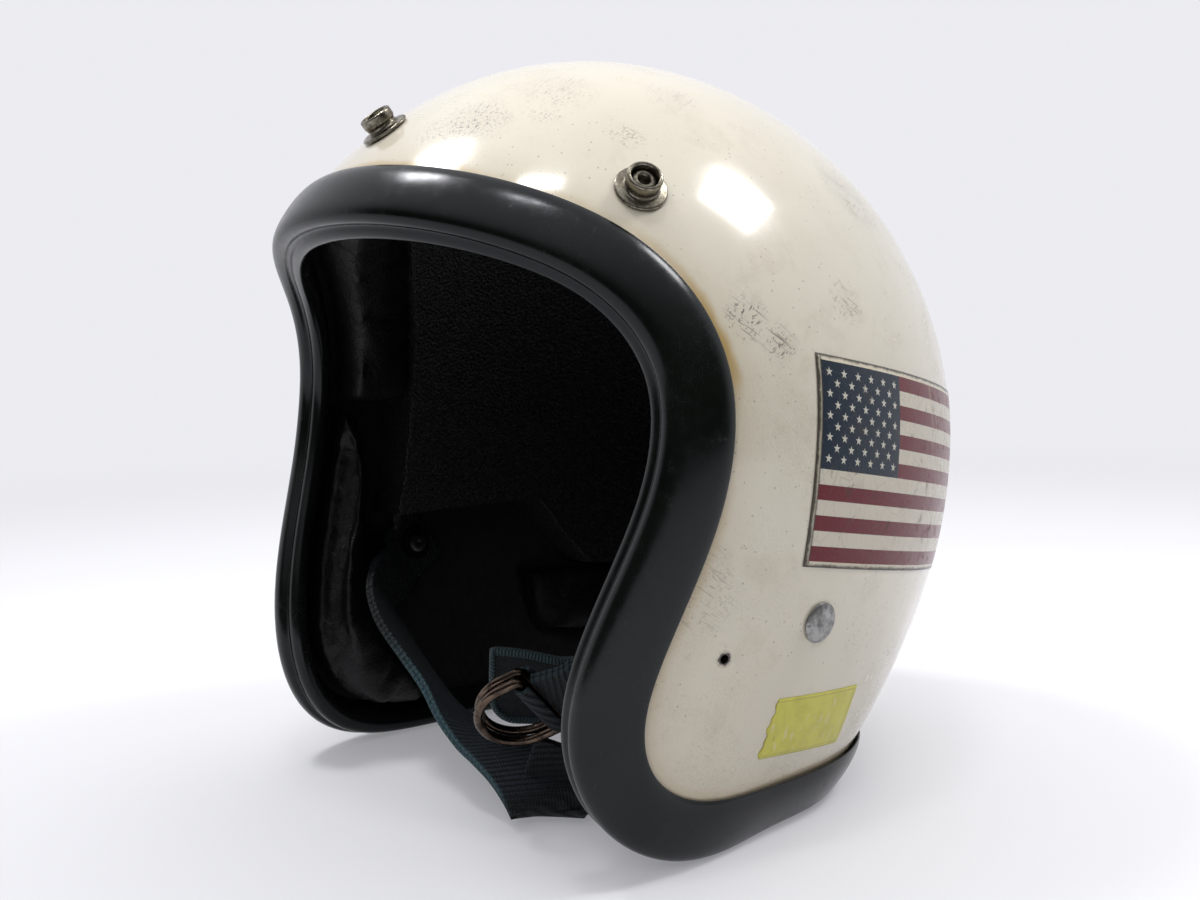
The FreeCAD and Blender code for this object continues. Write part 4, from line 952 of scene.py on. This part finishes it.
# ---- Webbing ----
STRAP_WIDTH, LAYER = 25.4, 1.7
FLEX = np.array([94.0, -38.0, 65.5])
BAR_CENTRE = np.array([43.4, -65.9, 46.3])
BAR_LIE = np.array([-0.06, 0.75, -0.66])
BAR_RADIUS, BAR_OFFSET, BAR_EASE = 1.6, 2.0, 0.32
LONG_ROUTE = [
    ((-94.0, -38.0, 65.5), (0.0, 0.0, -1.0)), ((-88.5, -42.5, 65.3), (-0.05, 0.1, -1.0)),
    ((-82.0, -47.2, 64.0), (-0.10, 0.40, -0.90)), ((-72.5, -52.6, 59.0), (-0.22, 0.70, -0.68)),
    ((-59.0, -56.6, 51.0), (-0.26, 0.78, -0.57)), ((-42.0, -58.0, 41.0), (-0.35, 0.78, -0.52)),
    ((-27.0, -58.5, 32.3), (-0.55, 0.75, -0.35)), ((-14.0, -59.0, 26.5), (-0.62, 0.78, -0.12)),
    ((-2.0, -59.0, 22.8), (-0.60, 0.79, 0.05)), ((10.0, -59.0, 20.2), (-0.35, 0.92, 0.15)),
    ((22.0, -59.5, 17.0), (0.10, 0.98, 0.18)), ((31.5, -60.2, 12.4), (0.45, 0.88, 0.10)),
    ((37.6, -60.8, 7.8), (0.64, 0.77, 0.0)), ((38.2, -60.6, 5.4), (0.70, 0.71, 0.0)),
    ((36.8, -58.2, 4.0), (0.78, 0.62, 0.0)), ((34.6, -55.0, 5.0), (0.80, 0.60, 0.0)),
    ((34.8, -53.0, 9.0), (0.74, 0.67, 0.0)), ((36.8, -51.6, 17.0), (0.67, 0.74, 0.0)),
    ((39.5, -50.0, 25.0), (0.67, 0.74, 0.0))]
FLAP_ROUTE = [(84.9, -37.9, 59.0), (75.5, -38.4, 56.0), (60.0, -39.4, 50.0), (46.0, -43.0, 46.5),
              (27.0, -54.5, 45.5), (15.6, -66.0, 46.0)]


def smooth_route(values, steps):
    """Smooth path through values, with steps points to each span."""
    values = np.asarray(values, float)
    slopes = np.zeros_like(values)
    slopes[1:-1] = (values[2:] - values[:-2]) / 2
    slopes[0], slopes[-1] = (values[1] - values[0]) / 2, (values[-1] - values[-2]) / 2
    t = np.linspace(0, len(values) - 1, (len(values) - 1) * steps + 1)
    i = np.minimum(t.astype(int), len(values) - 2)
    s = (t - i)[:, None]
    return hermite(values[i], slopes[i], values[i + 1], slopes[i + 1], s)


def strap_frames(stations, steps):
    """Centres, directions across, directions outwards and lengths along a strap's route."""
    centres = smooth_route([c for c, _ in stations], steps)
    lies = smooth_route([unit(l) for _, l in stations], steps)
    runs = np.empty_like(centres)
    runs[1:-1] = centres[2:] - centres[:-2]
    runs[0], runs[-1] = centres[1] - centres[0], centres[-1] - centres[-2]
    runs = unit(runs)
    lies = unit(lies - runs * (lies * runs).sum(1, keepdims=True))
    return centres, lies, np.cross(runs, lies), running_length(centres)


def strap_profile(layers):
    """Closed section (across, outwards) of layers of webbing, each with rounded selvedges."""
    half, total = STRAP_WIDTH / 2, layers * LAYER
    widest = math.radians(80)
    right = []
    for k in range(layers):
        middle = -total / 2 + LAYER * (k + 0.5)
        for angle in np.linspace(-80, 80, 7):
            a = math.radians(angle)
            right.append((half - LAYER * 0.35 + LAYER * 0.42 * math.cos(a),
                          middle + LAYER * 0.5 * math.sin(a) / math.sin(widest)))
    top = [(x, total / 2) for x in np.linspace(half * 0.9, -half * 0.9, 13)]
    bottom = [(x, -total / 2) for x in np.linspace(-half * 0.9, half * 0.9, 13)]
    left = [(-x, y) for x, y in right[::-1]]
    return np.array(right + top + left + bottom)


def make_strap(name, stations, steps, layers, round_start=False):
    """Strap of some layers of webbing; a doubled strap's fold rounds its start."""
    centres, lies, faces, length = strap_frames(stations, steps)
    section = strap_profile(layers)
    rows, uv = [], []
    if round_start:
        half = layers * LAYER / 2
        run = unit(centres[1] - centres[0])
        for a in np.radians(np.linspace(75, 15, 5)):
            back = half * math.sin(a)
            rows.append(centres[0] - run * back + lies[0] * section[:, :1]
                        + faces[0] * (section[:, 1:] * math.cos(a)))
            uv.append(np.stack([np.full(len(section), -back), section[:, 0]], 1))
    for centre, lie, face, along in zip(centres, lies, faces, length):
        rows.append(centre + lie * section[:, :1] + face * section[:, 1:])
        uv.append(np.stack([np.full(len(section), along), section[:, 0]], 1))
    return sleeve(name, rows, uv)


def bar_frame():
    back = unit(FLEX - BAR_CENTRE)
    bar = unit(BAR_LIE - back * (BAR_LIE @ back))
    face = unit(np.cross(back, bar))
    return back, bar, face if face[2] > 0 else -face


def short_strap_route():
    back, bar, _ = bar_frame()
    down = np.array([0, 0, -1.0])
    level = unit(np.array([-back[0], -back[1], 0]))
    outer = BAR_RADIUS + 0.3 + LAYER
    sewn = BAR_CENTRE + back * (outer - LAYER / 2)
    stations = [(FLEX, down), (FLEX + level * 6, down)]
    first, last = FLEX + level * 12 + down, BAR_CENTRE + back * (outer + 10)
    for share in np.linspace(0, 1, 7):
        stations.append((first + (last - first) * share, down * (1 - share) + bar * share))
    stations.append((sewn, bar))
    return stations


def make_loop(name):
    """Webbing turned round both ring bars and sewn back on the strap."""
    back, bar, face = bar_frame()
    width = np.linspace(-STRAP_WIDTH / 2, STRAP_WIDTH / 2, 15)
    edge = np.array([0.5] + [1] * 13 + [0.5])
    rows, uv = [], []
    length, previous = 0, None
    for angle in np.linspace(math.radians(35), math.radians(325), 33):
        # stadium round the two bars, opening towards the strap
        d = math.cos(angle) * back + math.sin(angle) * face
        lift = math.sin(angle)
        level = BAR_OFFSET * np.sign(lift) if abs(lift) > 0.15 else BAR_OFFSET * lift / 0.15
        middle = BAR_CENTRE + face * level + d * (BAR_RADIUS + BAR_EASE + LAYER / 2)
        length += 0 if previous is None else np.linalg.norm(middle - previous)
        previous = middle
        ring, ring_uv = [], []
        for sign in (1, -1):
            rim = middle + d * sign * LAYER / 2 * edge[:, None] + bar * width[:, None]
            ring.append(rim[::sign])
            ring_uv.append(np.stack([np.full(len(width), length), width[::sign]], 1))
        rows.append(np.concatenate(ring))
        uv.append(np.concatenate(ring_uv))
    return sleeve(name, rows, uv)


def make_flap():
    """Lined cloth flap with a bound edge all round."""
    lean = (0, 0.1, 1.0)
    centres, lies, faces, length = strap_frames([(c, lean) for c in FLAP_ROUTE], 12)
    half, corner, columns = 12.5, 9.0, 21
    total = length[-1]
    across = np.linspace(-1, 1, columns)
    layers, uv = [], []
    for side in (1, -1):
        sheet = []
        for i in range(len(centres)):
            end = total - length[i]
            low = half
            if end < corner:
                low = half - corner + math.sqrt(max(corner ** 2 - (corner - end) ** 2, 0.05))
            wave = 0.7 * math.sin(length[i] * 0.16 + 0.5) * np.clip(across + 0.2, 0, 1)
            dip = (3.0 * math.exp(-((end - 26.0) / 13.0) ** 2)
                   - 1.2 * math.exp(-((end - 55.0) / 14.0) ** 2))
            lower = np.where(across < 0, low, half)
            offset = across * lower - dip * np.clip(across, 0, 1) ** 2
            pad = 1.05 * np.sqrt(np.clip(1 - np.abs(across) ** 6, 0.05, 1))
            sheet.append(centres[i] + lies[i] * offset[:, None]
                         + faces[i] * (side * pad + wave * 0.8)[:, None])
            if side > 0:
                uv.append(np.stack([np.full(columns, length[i]), offset], 1))
        layers.append(np.array(sheet))
    rows = len(centres)
    points = np.concatenate(layers).reshape(-1, 3)
    quads = grid_faces(rows, columns).tolist()
    quads += [q[::-1] for q in grid_faces(rows, columns, start=rows * columns).tolist()]
    n = rows * columns
    loop = (list(range(0, n, columns)) + list(range(n - columns + 1, n))
            + list(range(n - columns - 1, 0, -columns)) + list(range(columns - 2, 0, -1)))
    for a, b in zip(loop, loop[1:] + loop[:1]):
        quads.append([a, b, n + b, n + a])
    flap = outward(mesh_object("strap_flap", points, quads))
    give_uv(flap, np.concatenate(uv + uv))
    rim = (layers[0] + layers[1]).reshape(-1, 3)[loop] / 2
    return flap, rim


def make_binding(rim):
    """Folded tape over the flap's edge, along a closed rim."""
    n = len(rim)
    runs = unit(np.roll(rim, -1, 0) - np.roll(rim, 1, 0))
    middle = rim.mean(0)
    facing = unit(np.cross(runs, middle - rim))
    inward = unit(np.cross(facing, runs))
    half = [(1.7, 1.35), (0.9, 1.5), (0.1, 1.35), (-0.55, 0.7)]
    section = np.array(half + [(-0.7, 0.0)] + [(x, -y) for x, y in half[::-1]]
                       + [(1.7, -0.9), (1.7, 0.9)])
    points = rim[:, None] + inward[:, None] * section[:, :1] + facing[:, None] * section[:, 1:]
    uv = np.stack(np.broadcast_arrays(running_length(rim)[:, None], section[None, :, 0]), -1)
    faces = grid_faces(n, len(section), True, True)
    tape = outward(mesh_object("flap_binding", points.reshape(-1, 3), faces))
    give_uv(tape, uv.reshape(-1, 2))
    return tape


def anchor_route(side):
    point, normal = OUTER.side_seat(*RIVET)
    middle = point - normal * (WALL + 1.2 + 0.1 + LAYER / 2)
    bend = np.array([101.0, -29.0, 66.3])
    upright = np.array([0, 0, -1.0])
    run = unit(bend - middle)
    along = unit(run - normal * (run @ normal))
    lie = np.cross(along, normal)
    if lie @ upright < 0:
        lie = -lie
    last = FLEX - unit(FLEX - bend) * (LAYER + 0.35)
    route = [(middle - along * 9, lie), (middle, lie), (middle + along * 8, lie),
             (bend, lie + upright * 2), (last, upright)]
    flip = np.array([side, 1, 1])
    return [(c * flip, unit(l) * flip) for c, l in route]


def make_webbing():
    webbing = webbing_paint("soiled_webbing", 0.72)
    # painted shade: the anchor webbing is mixed nine tenths towards near-black for the shadow it
    # lies in behind the pads
    hidden = webbing_paint("anchor_webbing", 0.9)
    binding = binding_paint()
    strap = make_strap("long_chin_strap", LONG_ROUTE, 8, 2, round_start=True)
    # the long strap's webbing, with painted shade at both ends
    shaded_ends_webbing = webbing_paint("long_webbing", 0.0, strap_frames(LONG_ROUTE, 8)[3][-1])
    finish_piece(strap, "long_strap", shaded_ends_webbing, "chin_strap_long", slot="webbing")
    strap = make_strap("short_chin_strap", short_strap_route(), 6, 2, round_start=True)
    loop = make_loop("ring_loop")
    finish_piece(strap, "short_strap", webbing, "chin_strap_short", slot="webbing")
    finish_piece(loop, "short_strap", webbing, slot="webbing")
    flap, rim = make_flap()
    finish_piece(flap, "short_strap", flap_paint(), "strap_pad", slot="flap_cloth")
    finish_piece(make_binding(rim), "short_strap", binding, slot="flap_cloth")
    for name, side in (("left", 1), ("right", -1)):
        anchor = make_strap("anchor_webbing_" + name, anchor_route(side), 8, 1)
        finish_piece(anchor, "helmet", hidden, "strap_anchor_" + name, slot="webbing")


# ---- Padding ----
PINNED, FREE = 7.0, 8.0         # depths inside the shell, mm: glued above, free to crease below
CLOTH_FRAMES = 20


def copy_node(node, name):
    piece = bpy.data.objects.new(name, NODES[node].data.copy())
    bpy.context.scene.collection.objects.link(piece)
    return piece


def coordinates(piece):
    co = np.empty(len(piece.data.vertices) * 3)
    piece.data.vertices.foreach_get("co", co)
    return co.reshape(-1, 3)


def set_coordinates(piece, co):
    piece.data.vertices.foreach_set("co", np.asarray(co, float).ravel())
    piece.data.update()


def vertex_normals(piece):
    n = np.empty(len(piece.data.vertices) * 3)
    piece.data.vertex_normals.foreach_get("vector", n)
    return n.reshape(-1, 3)


def shell_depth(co):
    """Rough depth, mm, of points inside the shell's outer face."""
    mm = co * 1000 - SHIFT
    reach = np.where(mm[:, 1] < 0, FRONT_REACH, BACK_REACH)
    angle = np.arctan2(mm[:, 0] / HALF_WIDTH, -mm[:, 1] / reach)
    crown = WIDE_LINE + CROWN_RISE - 1
    skin = OUTER.at(angle / (2 * np.pi) * COLUMNS % COLUMNS, OUTER.row(np.minimum(mm[:, 2], crown)))
    return np.linalg.norm(skin[:, :2], axis=1) - np.linalg.norm(mm[:, :2], axis=1)


def puffed(node, name, voxel, shrink, limit, pressure=4.0):
    """Cushion blown up from a slightly smaller copy of a CAD pad, held where it is glued."""
    piece = copy_node(node, name)
    remesh = piece.modifiers.new("remesh", "REMESH")
    remesh.mode, remesh.voxel_size = "VOXEL", voxel
    bake(piece)
    start = coordinates(piece)
    free = np.clip((shell_depth(start) - PINNED) / 3.0, 0, 1)
    start = start - vertex_normals(piece) * (shrink * (0.25 + 0.75 * free))[:, None]
    set_coordinates(piece, start)
    group = piece.vertex_groups.new(name="glued")
    for i in np.nonzero(free < 1)[0]:
        group.add([int(i)], float(1 - free[i]), "REPLACE")
    cloth = piece.modifiers.new("cloth", "CLOTH")
    settings = cloth.settings
    settings.quality = 5
    settings.mass = 0.3
    settings.use_pressure = True
    settings.uniform_pressure_force = pressure
    settings.effector_weights.gravity = 0
    settings.tension_stiffness = settings.compression_stiffness = 12
    settings.bending_stiffness = 0.3
    settings.vertex_group_mass = "glued"
    cloth.collision_settings.use_collision = False
    scene = bpy.context.scene
    for number in range(1, CLOTH_FRAMES + 1):
        scene.frame_set(number)
    move = coordinates(piece.evaluated_get(bpy.context.evaluated_depsgraph_get())) - start
    piece.modifiers.clear()
    piece.vertex_groups.clear()
    size = np.linalg.norm(move, axis=1, keepdims=True)
    set_coordinates(piece, start + move * np.minimum(1, limit / np.maximum(size, 1e-9)))
    scene.frame_set(1)
    soften = piece.modifiers.new("smooth", "SUBSURF")
    soften.levels = soften.render_levels = 1
    bake(piece)
    piece.data.polygons.foreach_set("use_smooth", [True] * len(piece.data.polygons))
    return piece


def lip(piece, reach, hidden=2.0, fall=26.0, bead=12.6):
    """Lets a cushion swell towards the rubber, most where it lies over the trim's bead; in mm."""
    rim = round_edge(200)[0] + SHIFT
    co = coordinates(piece) * 1000
    nearest = rim[np.concatenate([((co[i:i + 3000, None] - rim[None]) ** 2).sum(-1).argmin(1)
                                  for i in range(0, len(co), 3000)])]
    radial = unit(co - np.array([0, 0, 1]) * co)
    away = nearest - co
    away = away - radial * (away * radial).sum(1, keepdims=True)
    gap = np.linalg.norm(away, axis=1)
    share = np.clip(1 - (gap - gap.min() - 2) / fall, 0, 1)
    over = np.clip((shell_depth(co / 1000) - bead) / 4, 0, 1)
    amount = share ** 1.5 * (hidden + (reach - hidden) * over)
    set_coordinates(piece, (co + away / np.maximum(gap, 1e-6)[:, None] * amount[:, None]) / 1000)
    even = piece.modifiers.new("even", "SMOOTH")
    even.factor, even.iterations = 0.5, 8
    bake(piece)


def press(piece, amount):
    """Moves a cushion's free side inwards by an amount at each vertex, metres."""
    co = coordinates(piece)
    free = np.clip((shell_depth(co) - FREE) / 4, 0, 1)
    set_coordinates(piece, co - vertex_normals(piece) * (amount * free)[:, None])


def crease(piece, point, normal, depth, width, reach):
    """Presses one crease into a cushion's free side, across a normal at a point, metres."""
    away = coordinates(piece) - np.array(point)
    normal = unit(normal)
    off = away @ normal
    span = np.linalg.norm(away - off[:, None] * normal, axis=1)
    press(piece, depth * np.exp(-(off / width) ** 2) * np.exp(-(span / reach) ** 4))


def wrinkle(piece, seed, depth, scale, direction):
    """Small pulled wrinkles across a direction, in metres."""
    co = coordinates(piece)
    rng = np.random.default_rng(seed)
    direction = unit(direction)
    total = np.zeros(len(co))
    for _ in range(10):
        tilt = unit(direction + rng.normal(0, 0.22, 3))
        rate = scale * rng.uniform(0.6, 1.6)
        where = co @ tilt * rate + rng.uniform(0, 6.28)
        patch = co @ unit(rng.normal(0, 1, 3)) * scale * 0.35 + rng.uniform(0, 6.28)
        total += np.maximum(np.sin(where), 0) ** 3 * np.maximum(np.sin(patch), 0) ** 2
    press(piece, total * depth / 3)


LINING_OUTER = WALL + LINER + 0.3


def lining_outline():
    """Side view of the crown lining's edge: behind the brow pad, down the temples, to the nape."""
    fine = side_curve(400)
    run = unit(np.gradient(fine, axis=0))
    inside = fine + np.stack([-run[:, 1], run[:, 0]], 1) * 43.4
    inside = inside[fine[:, 1] > 100][::4]
    ear, nape = 92.3, 62.3
    tail = [(inside[-1, 0], ear), (44.0, ear), (60.0, nape), (160.0, nape)]
    return np.concatenate([inside, tail])


def make_lining():
    """Looped cloth that lies a little unevenly on the liner."""
    lining = dome_skin("crown_cloth", LINING_OUTER, LINING_OUTER + 2.6, 260, 170)
    carve(lining, outline_knife(lining_outline()), solver="MANIFOLD")
    points = coordinates(lining) * 1000
    rng = np.random.default_rng(4)
    wave = np.zeros(len(points))
    for _ in range(8):
        wave += np.sin(points @ unit(rng.normal(0, 1, 3)) / rng.uniform(6, 14)
                       + rng.uniform(0, 6.28))
    centre = np.array([0, -12.0, 110.0])
    set_coordinates(lining, (points + unit(centre - points) * (0.15 + wave[:, None] * 0.02)) / 1000)
    return lining


def make_padding():
    leather = leather_paint("pad_leather", (0.002, 0.002, 0.0025), 1.0, 0.30)
    brow_leather = leather_paint("brow_leather", (0.002, 0.002, 0.002), 1.1, 0.42)
    brow = puffed("brow_pad", "brow_cushion", 0.0045, 0.0008, 0.007, 9.0)
    for at in np.linspace(-62, 62, 8):
        crease(brow, (at / 1000, -0.110, 0.212), (1, 0.25 * np.sign(at), 0.25),
               0.0012, 0.0035, 0.05)
    wrinkle(brow, 3, 0.0006, 420, (1, 0.3, 0.2))
    finish_piece(brow, "helmet", brow_leather, "brow_pad", slot="pad_leather")
    for name, side in (("left", 1), ("right", -1)):
        cheek = puffed("cheek_pad_" + name, "cheek_cushion_" + name, 0.004, 0.0008, 0.009, 10.0)
        lip(cheek, 5.0)
        wrinkle(cheek, 5, 0.0013, 620, (side * 0.3, -0.5, 0.8))
        finish_piece(cheek, "helmet", leather, "cheek_pad_" + name, slot="pad_leather")
    nape = puffed("nape_pad", "nape_cushion", 0.0045, 0.0022, 0.004)
    wrinkle(nape, 8, 0.0012, 220, (1, 0.2, 0.1))
    finish_piece(nape, "helmet", leather, "nape_pad", slot="pad_leather")
    lining = make_lining()
    finish_piece(lining, "helmet", lining_paint(), "crown_lining", slot="lining_cloth")


# ---- Studio ----
AZIMUTH, ELEVATION, ROLL, DISTANCE, LENS = 48.24, 5.04, -1.21, 0.51676, 38.98
FLOOR_REACH, FLOOR_GLOW, FLAG_REACH = 8.0, 0.24, 2.2
BACKDROP, BACKDROP_COLOUR = 0.88, (0.95, 0.95, 1.0)
TARGET = np.array([-0.00885, -0.00664, 0.12174])
# name, place, aim, width, height, watts, colour, seen in reflections
LAMPS = [("key_box", (0.53, 0.60, 1.13), (0.05, 0, 0.15), 0.31, 0.29, 6.0, (1, 0.99, 0.97), True),
         ("strip_box", (0.19, -0.26, 1.29), (0.05, -0.1, 0.2), 0.20, 0.06, 1.6, (1, 1, 1), True),
         ("left_box", (-0.44, -0.29, 1.20), (0, -0.1, 0.2), 0.21, 0.22, 5.0, (1, 1, 1), True),
         ("front_fill", (0.9, -1.3, 1.0), (0, 0, 0.1), 1.0, 0.8, 6.0, (1, 1, 1), False),
         ("overhead", (-0.35, 0.45, 1.9), (-0.1, 0.1, 0), 2.2, 1.8, 15, (1, 1, 1), False)]


def make_camera():
    az, el, roll = (math.radians(a) for a in (AZIMUTH, ELEVATION, ROLL))
    back = np.array([math.sin(az) * math.cos(el), -math.cos(az) * math.cos(el), math.sin(el)])
    right = np.array([math.cos(az), math.sin(az), 0])
    up = np.cross(back, right)
    c, s = math.cos(roll), math.sin(roll)
    right, up = right * c + up * s, up * c - right * s
    data = bpy.data.cameras.new("photo_view")
    data.lens, data.sensor_width, data.sensor_fit = LENS, 36, "HORIZONTAL"
    data.clip_start = 0.01
    camera = bpy.data.objects.new("photo_view", data)
    bpy.context.scene.collection.objects.link(camera)
    matrix = np.eye(4)
    matrix[:3] = np.column_stack([right, up, back, TARGET + back * DISTANCE])
    camera.matrix_world = Matrix(matrix.tolist())
    bpy.context.scene.camera = camera


def softbox(name, place, aim, width, height, watts, colour, seen):
    data = bpy.data.lights.new(name, "AREA")
    data.shape, data.size, data.size_y = "RECTANGLE", width, height
    data.energy, data.color = watts, colour
    light = bpy.data.objects.new(name, data)
    bpy.context.scene.collection.objects.link(light)
    light.location = place
    light.rotation_euler = (Vector(aim) - Vector(place)).to_track_quat("-Z", "Y").to_euler()
    light.visible_glossy = seen


def make_floor():
    """Pale paper: its ring near the helmet is lit, and it runs out into the backdrop's colour."""
    points, faces = [(0.0, 0.0, FLOOR)], []
    for i, a in enumerate(np.linspace(0, 2 * np.pi, 96, endpoint=False)):
        points.append((FLOOR_REACH * math.cos(a), FLOOR_REACH * math.sin(a), FLOOR))
        faces.append((0, i + 1, (i + 1) % 96 + 1))
    floor = mesh_object("paper_floor", points, faces, mm=False)
    p = Paint("floor_paper", Roughness=0.6, Specular_IOR_Level=0.0)
    gap = p.distance(p.place(), (0.0, 0.0, 0.0))
    seen = background_rays(p)
    wide, close = p.fade(gap, 0.45, 1.5, 1, 0), p.fade(gap, 0.35, 0.75, 1, 0)
    pale = p.add(p.mul(seen, wide), p.mul(p.sub(1.0, seen), close))
    far_glow = p.mul(p.sub(1.0, wide), BACKDROP - FLOOR_GLOW)
    p.set(Base_Color=p.mix(pale, (0.0, 0.0, 0.0), (0.60, 0.60, 0.62)),
          Emission_Color=BACKDROP_COLOUR,
          Emission_Strength=p.mul(seen, p.add(FLOOR_GLOW, far_glow)))
    floor.data.materials.append(p.material)


def make_flag():
    """Black card on the camera's side, seen by glossy rays alone; it thins out at its edges."""
    points = []
    for up in np.radians(np.linspace(-5, 70, 16)):
        for turn in np.radians(np.linspace(-75, 160, 48)):
            flat, high = FLAG_REACH * math.cos(up), FLAG_REACH * math.sin(up)
            points.append((flat * math.sin(turn), -flat * math.cos(turn), high))
    flag = mesh_object("black_flag", points, grid_faces(16, 48), mm=False)
    p = Paint("flag_cloth_black", Base_Color=(0.004, 0.004, 0.004), Roughness=1.0,
              Specular_IOR_Level=0.0)
    x, y, z = p.split(p.place())
    toward = p.add(p.mul(x, 0.707), p.mul(y, -0.707))
    p.set(Alpha=p.mul(p.fade(toward, -0.2, 0.8, 0, 1), p.fade(z, 0.8, 2.0, 1, 0)))
    flag.data.materials.append(p.material)
    flag.visible_camera = flag.visible_diffuse = False
    flag.visible_shadow = flag.visible_transmission = False


def background_rays(p):
    """1 for the rays that show the backdrop itself: camera, glossy and transmission rays."""
    path = p.node("LightPath").outputs
    reflected = p.either(path["Is Glossy Ray"], path["Is Transmission Ray"])
    return p.either(path["Is Camera Ray"], reflected)


def make_light():
    """A pale backdrop for the rays that show it; for the rest, a dim room that brightens above."""
    world = bpy.data.worlds.new("studio")
    bpy.context.scene.world = world
    world.use_nodes = True
    background = world.node_tree.nodes["Background"]
    sky = Paint("sky")
    sky.tree = world.node_tree
    height = sky.split(sky.node("TexCoord").outputs["Generated"])[2]
    light = sky.fade(height, 0.0, 0.95, 0.14, 0.6)
    seen = background_rays(sky)
    strength = sky.add(sky.mul(seen, BACKDROP), sky.mul(sky.sub(1.0, seen), light))
    sky.plug(background.inputs[1], strength)
    background.inputs[0].default_value = (*BACKDROP_COLOUR, 1)
    bpy.data.materials.remove(sky.material)
    for lamp in LAMPS:
        softbox(*lamp)


def tidy_nodes():
    """Node materials for the CAD nodes that stay in view."""
    ring = metal_paint("ring_metal", (0.13, 0.095, 0.07), (0.05, 0.037, 0.03), 0.2,
                       (0.20, 0.085, 0.045))
    washer = metal_paint("washer_metal", (0.05, 0.045, 0.04), (0.03, 0.027, 0.024), 0.5,
                         (0.02, 0.017, 0.014))
    looks = {"d_ring_upper": ring, "d_ring_lower": ring, "impact_liner": foam_paint()}
    looks.update({name: washer for name in NODES if "washer" in name})
    for name, material in looks.items():
        data = NODES[name].data
        data.materials.clear()
        data.materials.append(material)
        for face in data.polygons:
            face.material_index = 0


def main():
    scene = bpy.context.scene
    scene.view_settings.view_transform = "Standard"
    scene.view_settings.look = "None"
    make_camera()
    make_floor()
    make_flag()
    make_light()
    tidy_nodes()
    shell = make_shell()
    finish_piece(shell, "helmet", None, "shell", slot="shell_gelcoat")
    finish_piece(make_trim(), "helmet", rubber_paint(), "edge_trim", slot="trim_rubber")
    nickel = metal_paint("aged_nickel", (0.27, 0.25, 0.20), (0.12, 0.105, 0.08), 0.24,
                         (0.035, 0.028, 0.018))
    core = metal_paint("snap_core_metal", (0.24, 0.22, 0.18), (0.08, 0.07, 0.055), 0.3,
                       (0.02, 0.016, 0.012))
    alloy = metal_paint("rivet_alloy", (0.34, 0.34, 0.335), (0.17, 0.165, 0.16), 0.38,
                        (0.06, 0.055, 0.05), 420)
    make_snaps(nickel, core)
    make_rivets(alloy)
    make_decals()
    make_webbing()
    make_padding()


main()
